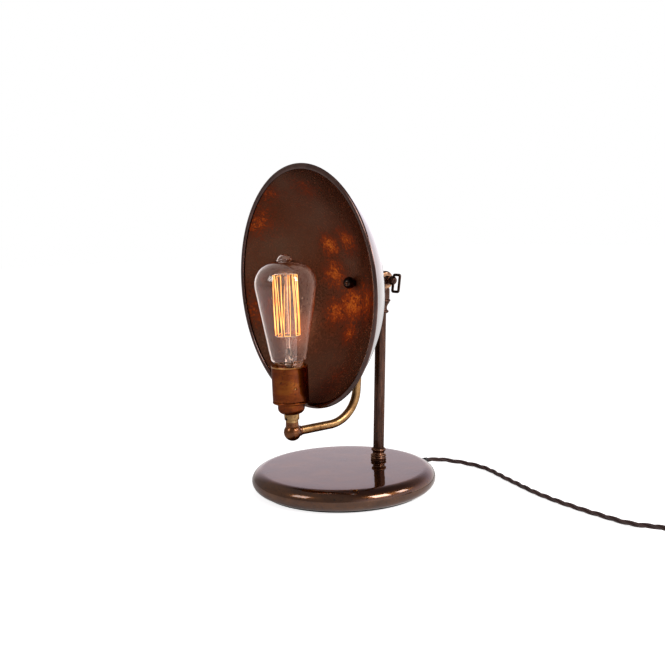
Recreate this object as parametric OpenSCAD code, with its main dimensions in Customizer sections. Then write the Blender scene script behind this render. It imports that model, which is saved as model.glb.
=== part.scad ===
// Table lamp: a spun brass dish and a pear bulb ride on a tilting knuckle above a weighted round foot.
// The foot's underside is centred on the origin, +Z is up, and the dish faces -Y.

/* [Foot] */
// Diameter of the foot over its round edge
base_d = 200; // [180:1:240]
// Height of the spun shell
base_h = 22; // [20:0.5:28]
// Sideways reach of the round edge
base_edge = 13; // [10:0.5:18]
// Thickness of the spun brass shell
base_wall = 1.2; // [0.8:0.1:1.6]
// Width of the lip that is spun in under the weight
base_lip = 3; // [2:0.5:6]
// Thickness of the felt
felt_t = 1.5; // [1:0.1:3]
// How far the felt reaches past the flat of the shell
felt_over = 2; // [1:0.5:3]
// Radius of the hollow for the nut under the stem
recess_r = 15; // [13:0.5:20]
// Thickness of cast iron left above that hollow
recess_roof = 4.8; // [3:0.1:7]

/* [Stem] */
// Diameter of the stem tube
stem_d = 12; // [11.5:0.1:12.5]
// Wall of the stem tube
stem_wall = 1; // [0.8:0.1:1.2]
// Distance of the stem's foot behind the middle of the base
stem_y = 48.4; // [35:0.5:60]
// Angle that the stem leans back
stem_rake = 2.7; // [0:0.1:5]
// Height of the hinge above the table
pivot_h = 224; // [190:1:280]
// Diameter of the threaded nipple and of the fork's spigot
nipple_d = 9.9; // [9.4:0.1:9.9]
// Bore of the threaded nipples
nipple_bore = 7; // [6:0.1:7.5]
// Height of the turned collar on the foot
foot_collar_h = 12.8; // [11:0.1:16]
// Diameter of the beads on the foot collar
foot_collar_d = 17.6; // [16:0.1:20]

/* [Knuckle] */
// Diameter of the knuckle's ears
ear_d = 20; // [18:0.2:22]
// Thickness of one ear
ear_t = 6.5; // [5:0.5:7.5]
// Thickness of the tongue between the ears
tongue_t = 6; // [5:0.5:8]
// Thickness of one fibre washer
fibre_t = 0.5; // [0.3:0.1:1]
// Diameter of the neck under the ears
neck_d = 18.8; // [18:0.2:20]
// Distance from the hinge down to the end of the neck
neck_len = 24.5; // [22:0.5:30]
// Length of the turned collar under the neck
top_collar_h = 12.5; // [11:0.5:16]
// Diameter of the clamp screw
screw_d = 6; // [5:0.2:6.6]
// Distance from the hinge's middle to the ball of the clamp screw
key_reach = 19.2; // [18.2:0.2:26]
// Diameter of the ball of the clamp screw
key_ball_d = 10; // [9:0.5:10]
// How far the ring's hole lies outside the ball's middle
ring_set = 2; // [0:0.1:2]
// Width of the rectangular ring, out from the ball
ring_w = 10.2; // [9:0.1:16]
// Height of the rectangular ring
ring_h = 18.2; // [18:0.2:22]
// Diameter of the ring's wire
ring_wire = 3; // [2:0.1:3]
// How far the ring sits off the ball's middle
ring_shift = 2.9; // [0:0.1:3.4]
// Angle that the ring has been turned to
ring_turn = 9; // [0:1:60]

/* [Shade] */
// Diameter of the dish over its rim
dish_d = 254; // [220:1:280]
// Depth of the dish from its rim to its outer middle
dish_depth = 68; // [55:1:80]
// Thickness of the spun dish
dish_wall = 1.2; // [0.8:0.1:2]
// Width of the wired rim
rim_w = 6; // [5:0.5:8]
// Thickness of the wired rim
rim_t = 3; // [2.4:0.1:4]
// How far the rim stands out past the dish wall
rim_over = 1.5; // [0.5:0.1:2.5]
// Distance from the hinge to the outer middle of the dish
dish_reach = 36.5; // [34:0.5:45]
// Angle that the dish looks down at rest
head_tilt = 0.9; // [-3:0.1:4]
// Diameter of the ball nut in the dish
ball_nut_d = 13; // [11:0.5:16]
// Diameter of the threaded stud through the dish
stud_d = 6; // [5:0.5:6]
// Diameter of the hub behind the dish
hub_d = 18; // [17:0.5:22]
// Length of the hub
hub_len = 15; // [14:0.5:16]
// Thickness of the cupped washer behind the dish
cup_washer_t = 2; // [1.5:0.1:3]
// Diameter of the cupped washer
cup_washer_d = 28; // [20:1:36]
// Diameter of the shank between the knuckle and the hub
shank_d = 12.4; // [11:0.2:13]

/* [Arm] */
// Diameter of the bent arm tube
arm_d = 9.4; // [8.6:0.1:9.6]
// Wall of the arm tube
arm_wall = 1.1; // [0.8:0.1:1.2]
// Depth of the arm's level part below the dish's edge
arm_below = 23.4; // [20:0.2:35]
// Radius of the bend along the middle of the tube
arm_bend = 37; // [35:1:50]
// Angle that the arm's upper part leans
arm_lean = 6.1; // [3:0.1:8]
// Distance of the bulb in front of the dish's rim
bulb_proud = 20; // [18:0.5:30]
// Diameter of the ball at the arm's end
elbow_d = 18.4; // [17:0.2:20]

/* [Lampholder] */
// Diameter of the holder's barrel
holder_d = 38; // [38:0.2:40]
// Height of the barrel
holder_h = 36.4; // [35:0.2:40]
// Height of the barrel's lower edge above the ball's middle
holder_seat = 34.6; // [33:0.2:36]
// Wall of the turned brass holder
holder_wall = 0.8; // [0.6:0.1:0.9]
// Height of the boss on the ball, under the neck
neck_low = 11.1; // [10.6:0.1:11.6]
// Height of the neck's upper end above the ball's middle
neck_top = 19.7; // [18.5:0.1:20.5]
// Diameter of the neck's upper end
neck_top_d = 16; // [14:0.1:16.4]
// Diameter of the neck's lower end
neck_low_d = 13.2; // [11.6:0.1:13.6]

/* [Bulb] */
// Widest diameter of the glass
bulb_d = 64; // [60:1:70]
// Length from the glass tip to the cap's contact
bulb_len = 146; // [138:1:150]
// Diameter of the screw cap over its thread
cap_d = 26; // [25:0.1:26.2]
// Length of the screw cap with its contact
cap_len = 26.5; // [25:0.5:28]
// Diameter of the glass where it meets the barrel
glass_neck_d = 38; // [36:0.2:39]
// Thickness of the glass
glass_t = 0.8; // [0.6:0.1:1.2]
// Radius of the glass's shoulder
shoulder_r = 24; // [20:1:26]
// Upright strands of the filament
strands = 16; // [10:2:20]
// Radius of the filament's cage
cage_r = 13; // [10:0.5:15]
// Height of the filament's cage
cage_h = 60; // [50:1:70]

/* [Cord] */
// Diameter over the twisted cores
cord_d = 5.2; // [4.8:0.1:5.6]
// Height of the cord where it leaves the foot
exit_h = 9; // [8:0.5:12]
// Length of the bush's tapered tail
bush_tail = 20; // [20:1:30]
// Turns in one layer of the coil
layer_turns = 3.625; // [2.625:1:3.625]
// Radius of the coil's outermost turn
coil_r = 40; // [38:1:44]
// Free space between the coil's turns
turn_gap = 0.7; // [0.6:0.1:1.5]

/* [Switch and plug] */
// Length of the cord switch
switch_l = 58; // [50:1:64]
// Width of the cord switch
switch_w = 24; // [22:1:30]
// Height of the cord switch
switch_h = 17; // [16:0.5:20]
// Angle that the rocker tips to each side
rocker_tip = 8; // [5:1:10]
// Length of the plug's body
plug_l = 52; // [48:1:56]
// Width of the plug's body
plug_w = 50; // [46:1:54]
// Thickness of the plug's body
plug_t = 23; // [21:1:27]

/* [Fits] */
// Radial clearance of parts that seat in each other
fit_gap = 0.05; // [0.03:0.01:0.1]
// Clearance of parts that move past each other
slip_gap = 0.4; // [0.3:0.1:0.6]

/* [Hidden] */
$fn = 72;
far = 400;

// Foot
base_r = base_d / 2;
flat_r = base_r - base_edge;
shell_mid = felt_t + base_h / 2;
base_top = felt_t + base_h;
lip_r = flat_r - base_lip;
nut_seat = base_wall + recess_roof;
washer_t = 1.2;
washer_r = 10;
nut_t = 3;
nut_af = 14;
nut_r = nut_af / 2 / cos(30);
nipple_r = nipple_d / 2;
nipple_hole_r = nipple_r + 0.8;
nipple_down = nut_seat + washer_t + nut_t + 0.4;
nipple_up = foot_collar_h + 1;

// Cord where it leaves the foot
cord_r = cord_d / 2;
bush_r = cord_r + 1.8;
bush_flange_r = bush_r + 1.6;
bush_flange_t = 2.4;
bush_in = 10;
bush_tip_r = cord_r + 0.7;
channel_w = 2 * (bush_r + fit_gap);
lead_end_y = stem_y + recess_r - 1;
wires_r = 2.1;
wires_bend = 6;
grip_y = (lead_end_y + base_r - bush_in) / 2;
grip_l = 24;
grip_w = 8;
grip_t = 1.6;
grip_z = felt_t + 1.3;
grip_head_h = 1.1;
grip_head_r = 2.6;
grip_screw_x = 9;
earth_r = 1.6;
earth_head_r = 2.6;
earth_x = -(washer_r + earth_r + 0.5);

// Stem and hinge
stem_r = stem_d / 2;
pivot_len = (pivot_h - base_top) / cos(stem_rake);
pivot_y = stem_y + (pivot_h - base_top) * tan(stem_rake);
stem_len = pivot_len - neck_len;
spigot_len = 14;
ear_r = ear_d / 2;
slot_half = tongue_t / 2 + fibre_t;
ear_face = slot_half + ear_t;
neck_shoulder = 8;
tongue_r = ear_r - 0.3;
slot_floor = tongue_r + 0.8;
screw_r = screw_d / 2;
screw_hole_r = screw_r + fit_gap;
wire_way_r = 2.7;
ball_r = key_ball_d / 2;
wire_r = ring_wire / 2;
ring_corner = 1.6;

// Head, measured forwards from the hinge along the dish's axis
hub_r = hub_d / 2;
hub_front = dish_reach - cup_washer_t;
hub_mid = hub_front - hub_len / 2;
hub_back = hub_front - hub_len;
shank_start = ear_r + 1.2;
hub_spigot_r = 4;
hub_spigot_len = 4.5;
stud_r = stud_d / 2;
rim_plane = dish_reach + dish_depth;
dish_r = dish_d / 2;
wall_r = dish_r - rim_over;
bowl_r = (wall_r * wall_r + dish_depth * dish_depth) / (2 * dish_depth);
bowl_angle = asin(wall_r / bowl_r);
nut_ball_r = ball_nut_d / 2;
nut_ball_mid = dish_reach + dish_wall + nut_ball_r - 0.3;
stud_end = nut_ball_mid + 2;

// Arm, in the plane of the stem
arm_r = arm_d / 2;
arm_bore_r = arm_r - arm_wall;
arm_drop = dish_r + arm_below;
bulb_reach = rim_plane + bulb_proud;
bend_z = arm_bend - arm_drop;
bend_y = -hub_mid + bend_z * tan(arm_lean) - arm_bend / cos(arm_lean);
arm_top_gap = hub_spigot_r + 0.3;
bend_end = [bend_y + arm_bend * cos(arm_lean), bend_z - arm_bend * sin(arm_lean)];
arm_rise = -bend_end[1] / cos(arm_lean) - arm_top_gap;
elbow_r = elbow_d / 2;
arm_seat = 5;
arm_start = elbow_r - arm_seat;
lap = 0.5;
lap_step = 0.01;

// Lampholder, measured up from the ball's middle
holder_r = holder_d / 2;
barrel_in = holder_r - holder_wall;
holder_top = holder_seat + holder_h;
flange_t = 3.2;
cup_rim_top = holder_seat + 4;
cup_rim_r = barrel_in - fit_gap;
cup_wall = 1;
nipple_low = arm_r + 0.5;
nipple_top = neck_top + 4;
insulator_r = barrel_in - 0.4;
insulator_low = holder_seat - flange_t + cup_wall + 0.2;
insulator_floor = insulator_low + 4.2;
cap_r = cap_d / 2;
thread_depth = 0.5;
thread_pitch = 3.6;
terminal_x = 9;
shell_gap = 0.5;
shell_t = 0.5;
shell_top = holder_top - 6;
shell_out = cap_r + shell_gap + shell_t;

// Bulb, measured up from the ball's middle
bulb_r = bulb_d / 2;
cap_low = insulator_floor + 3.6;
bulb_tip = cap_low + bulb_len;
cap_top = cap_low + cap_len;
contact_h = 1.8;
seal_h = 2.6;
thread_low = cap_low + contact_h + seal_h;
pip_r = 9.2;
pip_h = 7.4;
shoulder_z = bulb_tip - shoulder_r - pip_h;
neck_z = holder_top + 9;
cage_top = shoulder_z + 10;
cage_low = cage_top - cage_h;
pinch_z = cage_low - 18;
spoke_up = cage_top + 0.2;
spoke_low = cage_low - 3;
knob_r = 2;
knob_low_r = 2.2;
spoke_r = 0.35;
lead_r = 0.5;
lead_x = 3;

// Cord on the table
floor_z = cord_r;
run_points = [
    [0, 120, 9], [0.5, 126, 8.6], [2.5, 133, 8], [6, 140, 7.2], [11, 146, 6], [18, 152.5, 4.9],
    [28, 158.5, 3.8], [40, 162.5, 2.9], [53, 163, 2.6], [67, 160, 2.6], [82, 155.5, 2.6], [97, 151, 2.6],
    [112, 147, 2.6], [127, 143, 2.6], [142, 139, 2.6], [158, 135.5, 2.6], [174, 133, 2.6], [190, 131, 2.6],
    [206, 130, 2.6], [222, 129, 2.6], [238, 129, 2.6], [254, 129, 2.6], [270, 129.5, 2.8], [286, 130, 4.2],
    [302, 130, 7], [315, 130, 8.3], [324, 130, 8.5]
];
switch_x = 324;
switch_y = 130;
switch_wall = 1.6;
switch_split = switch_h * 0.47;
rocker_z = switch_h - 4.5;
rocker_pin_r = 1.5;
window_l = 20;
window_w = 11;
link_points = [
    [382, 130, 8.5], [390, 130, 8.3], [399, 132, 7.4], [408, 138, 6], [414, 147, 4.8], [417, 158, 4],
    [417, 170, 3.6], [417, 180, 3.6], [417, 186.8, 3.6]
];
coil_x = 377;
coil_y = 192;
coil_lift = 1;
coil_pitch = cord_d + turn_gap;
coil_in = coil_r - coil_pitch * layer_turns;
loop_rings = 24;
coil_z = floor_z + coil_lift;
tie_t = 0.7;
tie_w = 9;
tie_gap = 0.45;
tail_points = [[371.8, 232, 9.5], [360, 232, 9.7], [348, 232, 10.4], [336, 232, 11.3], [325, 232, 11.5]];
plug_x = 325;
plug_y = 232;
plug_half = plug_t / 2;
earth_pin = [8, 4, 22.7];
line_pin = [4, 6.35, 17.7];
pin_pitch = 22.2;
pin_edge = 13;
plug_web = 6;
fuse_r = 3.15;
fuse_l = 25.4;
fuse_gap = 0.3;

// Points along an arc about c, of radius r, from angle a0 to a1 in n steps
function arc(c, r, a0, a1, n) = [for (i = [0:n]) let (a = a0 + (a1 - a0) * i / n) c + r * [cos(a), sin(a)]];

// The foot's edge as an ellipse, set in by side and by top
function edge(side, top, a0, a1, n) = [
    for (i = [0:n])
        let (a = a0 + (a1 - a0) * i / n)
            [flat_r + (base_edge - side) * cos(a), shell_mid + (base_h / 2 - top) * sin(a)]
];

// A rectangle l by w about the origin, with corners of radius r
function rounded(l, w, r) = concat(
    arc([l / 2 - r, w / 2 - r], r, 0, 90, 6), arc([r - l / 2, w / 2 - r], r, 90, 180, 6),
    arc([r - l / 2, r - w / 2], r, 180, 270, 6), arc([l / 2 - r, r - w / 2], r, 270, 360, 6)
);

function unit(v) = v / norm(v);
function tangent(p, i) = unit(p[min(i + 1, len(p) - 1)] - p[max(i - 1, 0)]);
// One ring of a swept tube, square to the route, with ref as its first direction
function ring(p, i, ref, r, sides) =
    let (t = tangent(p, i), v = unit(ref - (ref * t) * t), u = cross(t, v))
        [for (k = [0:sides - 1]) let (a = 360 * (k + 0.5) / sides) p[i] + r * (v * cos(a) + u * sin(a))];

// A closed tube of radius r along points p; refs is one direction or one for each point
module swept(p, refs, r, sides) {
    n = len(p);
    rings = [for (i = [0:n - 1]) each ring(p, i, is_list(refs[0]) ? refs[i] : refs, r, sides)];
    walls = [
        for (i = [0:n - 2], k = [0:sides - 1])
            let (a = i * sides + k, b = i * sides + (k + 1) % sides)
                each [[a, b, b + sides], [a, b + sides, a + sides]]
    ];
    low = [for (k = [1:sides - 2]) [0, k + 1, k]];
    top = [for (k = [1:sides - 2]) [0, k, k + 1] + (n - 1) * sides * [1, 1, 1]];
    polyhedron(rings, concat(walls, low, top), convexity = 6);
}

module turned(points) {
    rotate_extrude()
        polygon(points);
}

// A bar of radius r from height z0 to z1
module bar(r, z0, z1) {
    translate([0, 0, z0])
        cylinder(r = r, h = z1 - z0);
}

// The stem's own frame: its foot on the shell, z along the tube
module on_stem() {
    translate([0, stem_y, base_top])
        rotate([-stem_rake, 0, 0])
            children();
}

// The hinge's frame on the stem, z along the tube
module on_fork() {
    on_stem()
        translate([0, 0, pivot_len])
            children();
}

// The head's frame: the hinge at its origin, the dish along -y
module in_head() {
    translate([0, pivot_y, pivot_h])
        rotate([head_tilt, 0, 0])
            children();
}

// The dish's axis: z runs forwards from the hinge
module on_axis() {
    in_head()
        rotate([90, 0, 0])
            children();
}

// The bulb's axis: z runs up from the middle of the elbow's ball
module at_bulb() {
    in_head()
        translate([0, -bulb_reach, -arm_drop])
            children();
}

// The hinge's axis: z runs along +X
module on_hinge() {
    translate([0, pivot_y, pivot_h])
        rotate([0, 90, 0])
            children();
}

// What stands above the top of the foot
module above_foot() {
    intersection() {
        children();
        translate([-far / 2, -far / 2, base_top])
            cube(far);
    }
}

// The way out for the cord, z runs backwards from the widest point of the foot
module at_exit() {
    translate([0, base_r, exit_h])
        rotate([-90, 0, 0])
            children();
}

module felt_pad() {
    color("darkslategray")
        cylinder(r = flat_r + felt_over, h = felt_t);
}

module base_shell() {
    color("saddlebrown")
        difference() {
            turned(concat(
                [[0, base_top]], edge(0, 0, 90, -90, 24),
                [[lip_r, felt_t], [lip_r, felt_t + base_wall]],
                edge(base_wall, base_wall, -90, 90, 24), [[0, base_top - base_wall]]
            ));
            on_stem()
                bar(nipple_hole_r, -2 * base_wall, 2 * base_wall);
            at_exit()
                bar(bush_r + fit_gap, -base_edge, 5);
        }
}

module base_weight() {
    inset = base_wall + 0.3;
    color("dimgray")
        difference() {
            turned(concat(
                [[0, base_top - base_wall]], edge(inset, base_wall, 90, 0, 10),
                edge(inset, inset, 0, -90, 10),
                [[lip_r - 0.3, felt_t + inset], [lip_r - 0.3, felt_t], [0, felt_t]]
            ));
            on_stem() {
                bar(nipple_hole_r, -base_h, 5);
                bar(recess_r, -2 * base_h, -nut_seat);
            }
            translate([-channel_w / 2, stem_y, felt_t - 1])
                cube([channel_w, base_r, exit_h + channel_w / 2 - felt_t + 1]);
            translate([-grip_l / 2 - 0.2, grip_y - grip_w / 2 - 0.2, 0])
                cube([grip_l + 0.4, grip_w + 0.4, grip_z + grip_t + 0.2]);
            for (x = [-grip_screw_x, grip_screw_x])
                translate([x, grip_y, 0])
                    bar(1.5, 0, 10);
            translate([earth_x, stem_y, 0])
                bar(earth_r + fit_gap, 0, base_top - nut_seat + 3.5);
        }
}

module foot_collar() {
    r = foot_collar_d / 2;
    h = foot_collar_h;
    color("peru")
        above_foot()
            on_stem()
                difference() {
                    turned(concat(
                        [[0, -2], [r - 0.4, -2], [r - 0.4, 0.2]],
                        arc([r - 1.2, 1.4], 1.2, -60, 60, 5), arc([r - 1.5, 4.1], 1.4, -60, 80, 6),
                        [[stem_r + 0.8, 6.2], [stem_r + 0.5, 7.4], [stem_r + 0.9, 8.6]],
                        arc([r - 2.2, h - 2], 1.6, -70, 80, 6), [[stem_r + 0.5, h], [0, h]]
                    ));
                    bar(stem_r + fit_gap, -5, h + 5);
                }
}

module foot_nipple() {
    color("goldenrod")
        on_stem()
            difference() {
                bar(nipple_r, -nipple_down, nipple_up);
                bar(nipple_bore / 2, -far, far);
            }
}

module foot_washer() {
    color("silver")
        on_stem()
            difference() {
                bar(washer_r, -nut_seat - washer_t, -nut_seat);
                bar(nipple_r + 0.2, -far, far);
            }
}

module foot_nut() {
    low = nut_seat + washer_t + nut_t;
    color("goldenrod")
        on_stem()
            difference() {
                translate([0, 0, -low])
                    cylinder(r = nut_r, h = nut_t, $fn = 6);
                bar(nipple_r + fit_gap, -far, far);
            }
}

module earth_screw() {
    z = base_top - nut_seat - 0.8;
    color("goldenrod")
        translate([earth_x, stem_y, 0]) {
            bar(earth_r, z - 2, z + 3.5);
            bar(earth_head_r, z - 3.6, z - 1.4);
        }
}

module cord_grip() {
    color("silver")
        difference() {
            union() {
                translate([-grip_l / 2, grip_y - grip_w / 2, grip_z])
                    cube([grip_l, grip_w, grip_t]);
                translate([-cord_r, grip_y - grip_w / 2, grip_z])
                    cube([cord_d, grip_w, exit_h - cord_r - grip_z]);
            }
            for (x = [-grip_screw_x, grip_screw_x])
                translate([x, grip_y, 0])
                    bar(1.6, 0, 10);
        }
}

module grip_screws() {
    color("gainsboro")
        for (x = [-grip_screw_x, grip_screw_x])
            translate([x, grip_y, grip_z]) {
                bar(1.45, 0, 6.5);
                bar(grip_head_r, -grip_head_h, 0);
            }
}

module cord_bush() {
    color("black")
        at_exit()
            difference() {
                turned([
                    [0, -bush_in], [bush_r, -bush_in], [bush_r, 0], [bush_flange_r, 0],
                    [bush_flange_r, bush_flange_t - 0.6], [bush_flange_r - 0.6, bush_flange_t],
                    [bush_r, bush_flange_t], [bush_tip_r, bush_tail - 0.4], [bush_tip_r - 0.3, bush_tail],
                    [0, bush_tail]
                ]);
                bar(cord_r + fit_gap, -far, far);
            }
}

module base_lead() {
    color("saddlebrown")
        translate([0, lead_end_y, exit_h])
            rotate([-90, 0, 0])
                cylinder(r = cord_r, h = base_r + bush_tail - lead_end_y);
}

module stem_tube() {
    color("sienna")
        above_foot()
            on_stem()
                difference() {
                    bar(stem_r, -5, stem_len);
                    bar(stem_r - stem_wall, -6, stem_len + 1);
                }
}

// The cores leave the lead's end, turn up under the nipple and rise to the fork's slot
module stem_wires() {
    z0 = exit_h - cord_r + wires_r;
    cz = z0 + wires_bend;
    cy = stem_y + (cz - base_top) * tan(stem_rake) + wires_bend / cos(stem_rake);
    turn = [for (q = arc([cy, cz], wires_bend, 270, 180 - stem_rake, 6)) [0, q[0], q[1]]];
    rise = [
        for (s = [0.15:0.17:1])
            let (l = s * (pivot_len - slot_floor))
                [0, stem_y + l * sin(stem_rake), base_top + l * cos(stem_rake)]
    ];
    color("tan")
        swept(concat([[0, lead_end_y, z0]], turn, rise), [1, 0, 0], wires_r, 8);
}

module top_collar() {
    low = -neck_len - top_collar_h;
    color("peru")
        on_fork()
            difference() {
                turned(concat(
                    [[0, low], [stem_r + 0.7, low]], arc([stem_r + 1, low + 2.2], 1.7, -80, 80, 8),
                    [[stem_r + 0.9, low + 5.6], [stem_r + 0.8, low + 7.2], [stem_r + 1.3, low + 8.8],
                     [stem_r + 2.6, low + 11], [neck_d / 2, -neck_len - 0.6], [neck_d / 2, -neck_len],
                     [0, -neck_len]]
                ));
                bar(stem_r + fit_gap, -far, far);
            }
}

// One ear as a disc about the hinge, domed on its outer face
module ear() {
    turned(concat(
        [[0, slot_half], [ear_r - 0.4, slot_half], [ear_r, slot_half + 0.4]],
        arc([ear_r - 3, ear_face - 3], 3, 0, 80, 6), [[0, ear_face]]
    ));
}

module knuckle_fork() {
    r = neck_d / 2;
    color("peru")
        difference() {
            union() {
                on_fork()
                    turned(concat(
                        [[0, -neck_len - spigot_len], [nipple_r, -neck_len - spigot_len],
                         [nipple_r, -neck_len], [r - 0.4, -neck_len]],
                        arc([r - 0.5, -neck_len + 1.9], 1.6, -80, 80, 8),
                        [[r, -neck_len + 4], [r, -neck_shoulder - 2.5]],
                        arc([r - 2.5, -neck_shoulder - 2.5], 2.5, 10, 90, 5), [[0, -neck_shoulder]]
                    ));
                on_hinge()
                    ear();
                on_hinge()
                    mirror([0, 0, 1])
                        ear();
            }
            on_fork()
                translate([-slot_half, -2 * r, -slot_floor])
                    cube([2 * slot_half, 4 * r, 4 * r]);
            on_hinge()
                bar(screw_hole_r, -far, far);
            on_fork()
                bar(wire_way_r, -far, -slot_floor + 1);
        }
}

module fibre_washers() {
    color("firebrick")
        on_hinge()
            difference() {
                union() {
                    bar(tongue_r - 0.5, tongue_t / 2, slot_half);
                    bar(tongue_r - 0.5, -slot_half, -tongue_t / 2);
                }
                bar(screw_hole_r + 0.2, -far, far);
            }
}

module clamp_screw() {
    color("darkgoldenrod")
        difference() {
            on_hinge() {
                bar(screw_r, -ear_face, ear_face);
                turned([
                    [0, ear_face], [screw_r + 2, ear_face], [screw_r + 2, ear_face + 1.4],
                    [screw_r + 1, ear_face + 2], [screw_r + 0.4, ear_face + 3.5],
                    [screw_r + 0.4, key_reach - ball_r + 1.5], [0, key_reach - ball_r + 1.5]
                ]);
                translate([0, 0, key_reach])
                    sphere(r = ball_r);
            }
            in_ring()
                translate([0, 0, -ball_r - 1])
                    cylinder(r = wire_r + fit_gap, h = 2 * ball_r + 2);
        }
}

// The ring's frame: x out along the screw, z along the ring's height, centred on its hole in the ball
module in_ring() {
    translate([key_reach + ring_set, pivot_y, pivot_h])
        rotate([-ring_turn, 0, 0])
            children();
}

// Two straight sides and four bent corners for each half of the ring
module key_ring() {
    color("darkgoldenrod")
        in_ring()
            translate([ring_w / 2, 0, -ring_shift]) {
                for (x = [-1, 1])
                    translate([x * ring_w / 2, 0, 0])
                        bar(wire_r, ring_corner - ring_h / 2, ring_h / 2 - ring_corner);
                for (z = [-1, 1])
                    translate([0, 0, z * ring_h / 2])
                        rotate([0, 90, 0])
                            bar(wire_r, ring_corner - ring_w / 2, ring_w / 2 - ring_corner);
                for (x = [0, 1], z = [0, 1])
                    mirror([x, 0, 0])
                        mirror([0, 0, z])
                            translate([ring_w / 2 - ring_corner, 0, ring_h / 2 - ring_corner])
                                rotate([90, 0, 0])
                                    rotate_extrude(angle = 90)
                                        translate([ring_corner, 0])
                                            circle(r = wire_r);
            }
}

module knuckle_tongue() {
    color("peru")
        difference() {
            union() {
                on_hinge()
                    bar(tongue_r, -tongue_t / 2, tongue_t / 2);
                on_axis() {
                    intersection() {
                        translate([-tongue_t / 2, -far / 2, 0])
                            cube([tongue_t, far, shank_start + 1]);
                        bar(shank_d / 2, 0, shank_start + 1);
                    }
                    bar(shank_d / 2, shank_start, hub_back);
                    bar(hub_spigot_r, hub_back - 1, hub_back + hub_spigot_len);
                }
            }
            on_hinge()
                bar(screw_hole_r, -far, far);
            on_axis()
                bar(wire_way_r, screw_r + 3.5, far);
        }
}

module arm_hub() {
    bevel = 1.5;
    color("peru")
        difference() {
            on_axis()
                turned([
                    [0, hub_back], [hub_r - bevel, hub_back], [hub_r, hub_back + bevel],
                    [hub_r, hub_front - bevel], [hub_r - bevel, hub_front], [0, hub_front]
                ]);
            on_axis() {
                bar(hub_spigot_r + fit_gap, -far, hub_mid + 3.5);
                bar(stud_r + fit_gap, 0, far);
            }
            along_arm() {
                bar(arm_r + fit_gap, -far, -arm_top_gap);
                bar(arm_bore_r, -far, 0);
            }
        }
}

module shade_stud() {
    color("goldenrod")
        on_axis()
            bar(stud_r, hub_mid + 3.5, stud_end);
}

// The cupped washer takes the curve of the dish behind it
module cupped_washer() {
    r = cup_washer_d / 2;
    sag = bowl_r - sqrt(bowl_r * bowl_r - r * r);
    color("peru")
        on_axis()
            difference() {
                turned([
                    [0, hub_front], [r - 1.5, hub_front], [r, hub_front + 1], [r, dish_reach + sag + 1],
                    [0, dish_reach + sag + 1]
                ]);
                translate([0, 0, dish_reach + bowl_r])
                    sphere(r = bowl_r + fit_gap, $fn = 256);
                bar(stud_r + 0.1, 0, far);
            }
}

// A spherical bowl with a wired rim, its outer middle at dish_reach
module dish_shade() {
    inner_r = bowl_r - dish_wall;
    n = 36;
    outer = [for (i = [0:n]) let (a = bowl_angle * i / n) [bowl_r * sin(a), bowl_r * (1 - cos(a))]];
    inner = [for (i = [n:-1:0]) let (a = bowl_angle * i / n) [inner_r * sin(a), bowl_r - inner_r * cos(a)]];
    rim = concat(
        arc([dish_r - rim_t / 2, dish_depth], rim_t / 2, -90, 90, 8),
        arc([dish_r - rim_w + rim_t / 2, dish_depth], rim_t / 2, 90, 270, 8)
    );
    color("maroon")
        on_axis()
            translate([0, 0, dish_reach])
                difference() {
                    rotate_extrude($fn = 96)
                        union() {
                            polygon(concat(outer, inner));
                            polygon(rim);
                        }
                    bar(stud_r + 0.1, -1, 5);
                }
}

module ball_nut() {
    seat = dish_reach + dish_wall + 0.08;
    color("black")
        on_axis()
            difference() {
                union() {
                    intersection() {
                        translate([0, 0, nut_ball_mid])
                            sphere(r = nut_ball_r);
                        bar(nut_ball_r, seat + 0.6, far);
                    }
                    bar(4.2, seat, nut_ball_mid);
                }
                bar(stud_r + fit_gap, 0, stud_end);
            }
}

// The line of the arm's upper part: z runs up to the hub's middle
module along_arm() {
    in_head()
        translate([0, -hub_mid, 0])
            rotate([-arm_lean, 0, 0])
                children();
}

// The arm's level run, its bend and its upper run as one rod of radius r, longer by over at each end.
// Both runs start inside the bend and are a hair thicker, so that the walls cross cleanly.
module arm_rod(r, over) {
    at_bulb()
        translate([0, arm_start - over, 0])
            rotate([-90, 0, 0])
                cylinder(r = r + lap_step, h = bend_y + bulb_reach - arm_start + over + lap);
    in_head()
        translate([0, bend_y, bend_z])
            rotate([90, 0, 90])
                rotate([0, 0, -90])
                    rotate_extrude(angle = 90 - arm_lean)
                        translate([arm_bend, 0])
                            circle(r = r);
    along_arm()
        bar(r + lap_step, -arm_rise - arm_top_gap - lap, over - arm_top_gap);
}

module arm_tube() {
    color("peru")
        difference() {
            arm_rod(arm_r, 0);
            arm_rod(arm_bore_r, 1);
        }
}

module ball_elbow() {
    color("saddlebrown")
        at_bulb()
            difference() {
                union() {
                    turned(concat(
                        arc([0, 0], elbow_r, -90, 40, 20),
                        [[neck_low_d / 2 + 0.3, neck_low - 3.8], [neck_low_d / 2 + 0.1, neck_low - 2],
                         [neck_low_d / 2, neck_low - 0.7], [neck_low_d / 2, neck_low], [0, neck_low]]
                    ));
                    rotate([-90, 0, 0])
                        bar(arm_r + 0.9, 0, elbow_r + 1);
                }
                bar(nipple_r + fit_gap, nipple_low, far);
                bar(nipple_bore / 2, -1, far);
                rotate([-90, 0, 0]) {
                    bar(arm_r + fit_gap, arm_start, far);
                    bar(arm_bore_r - 0.4, 0, far);
                }
            }
}

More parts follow.
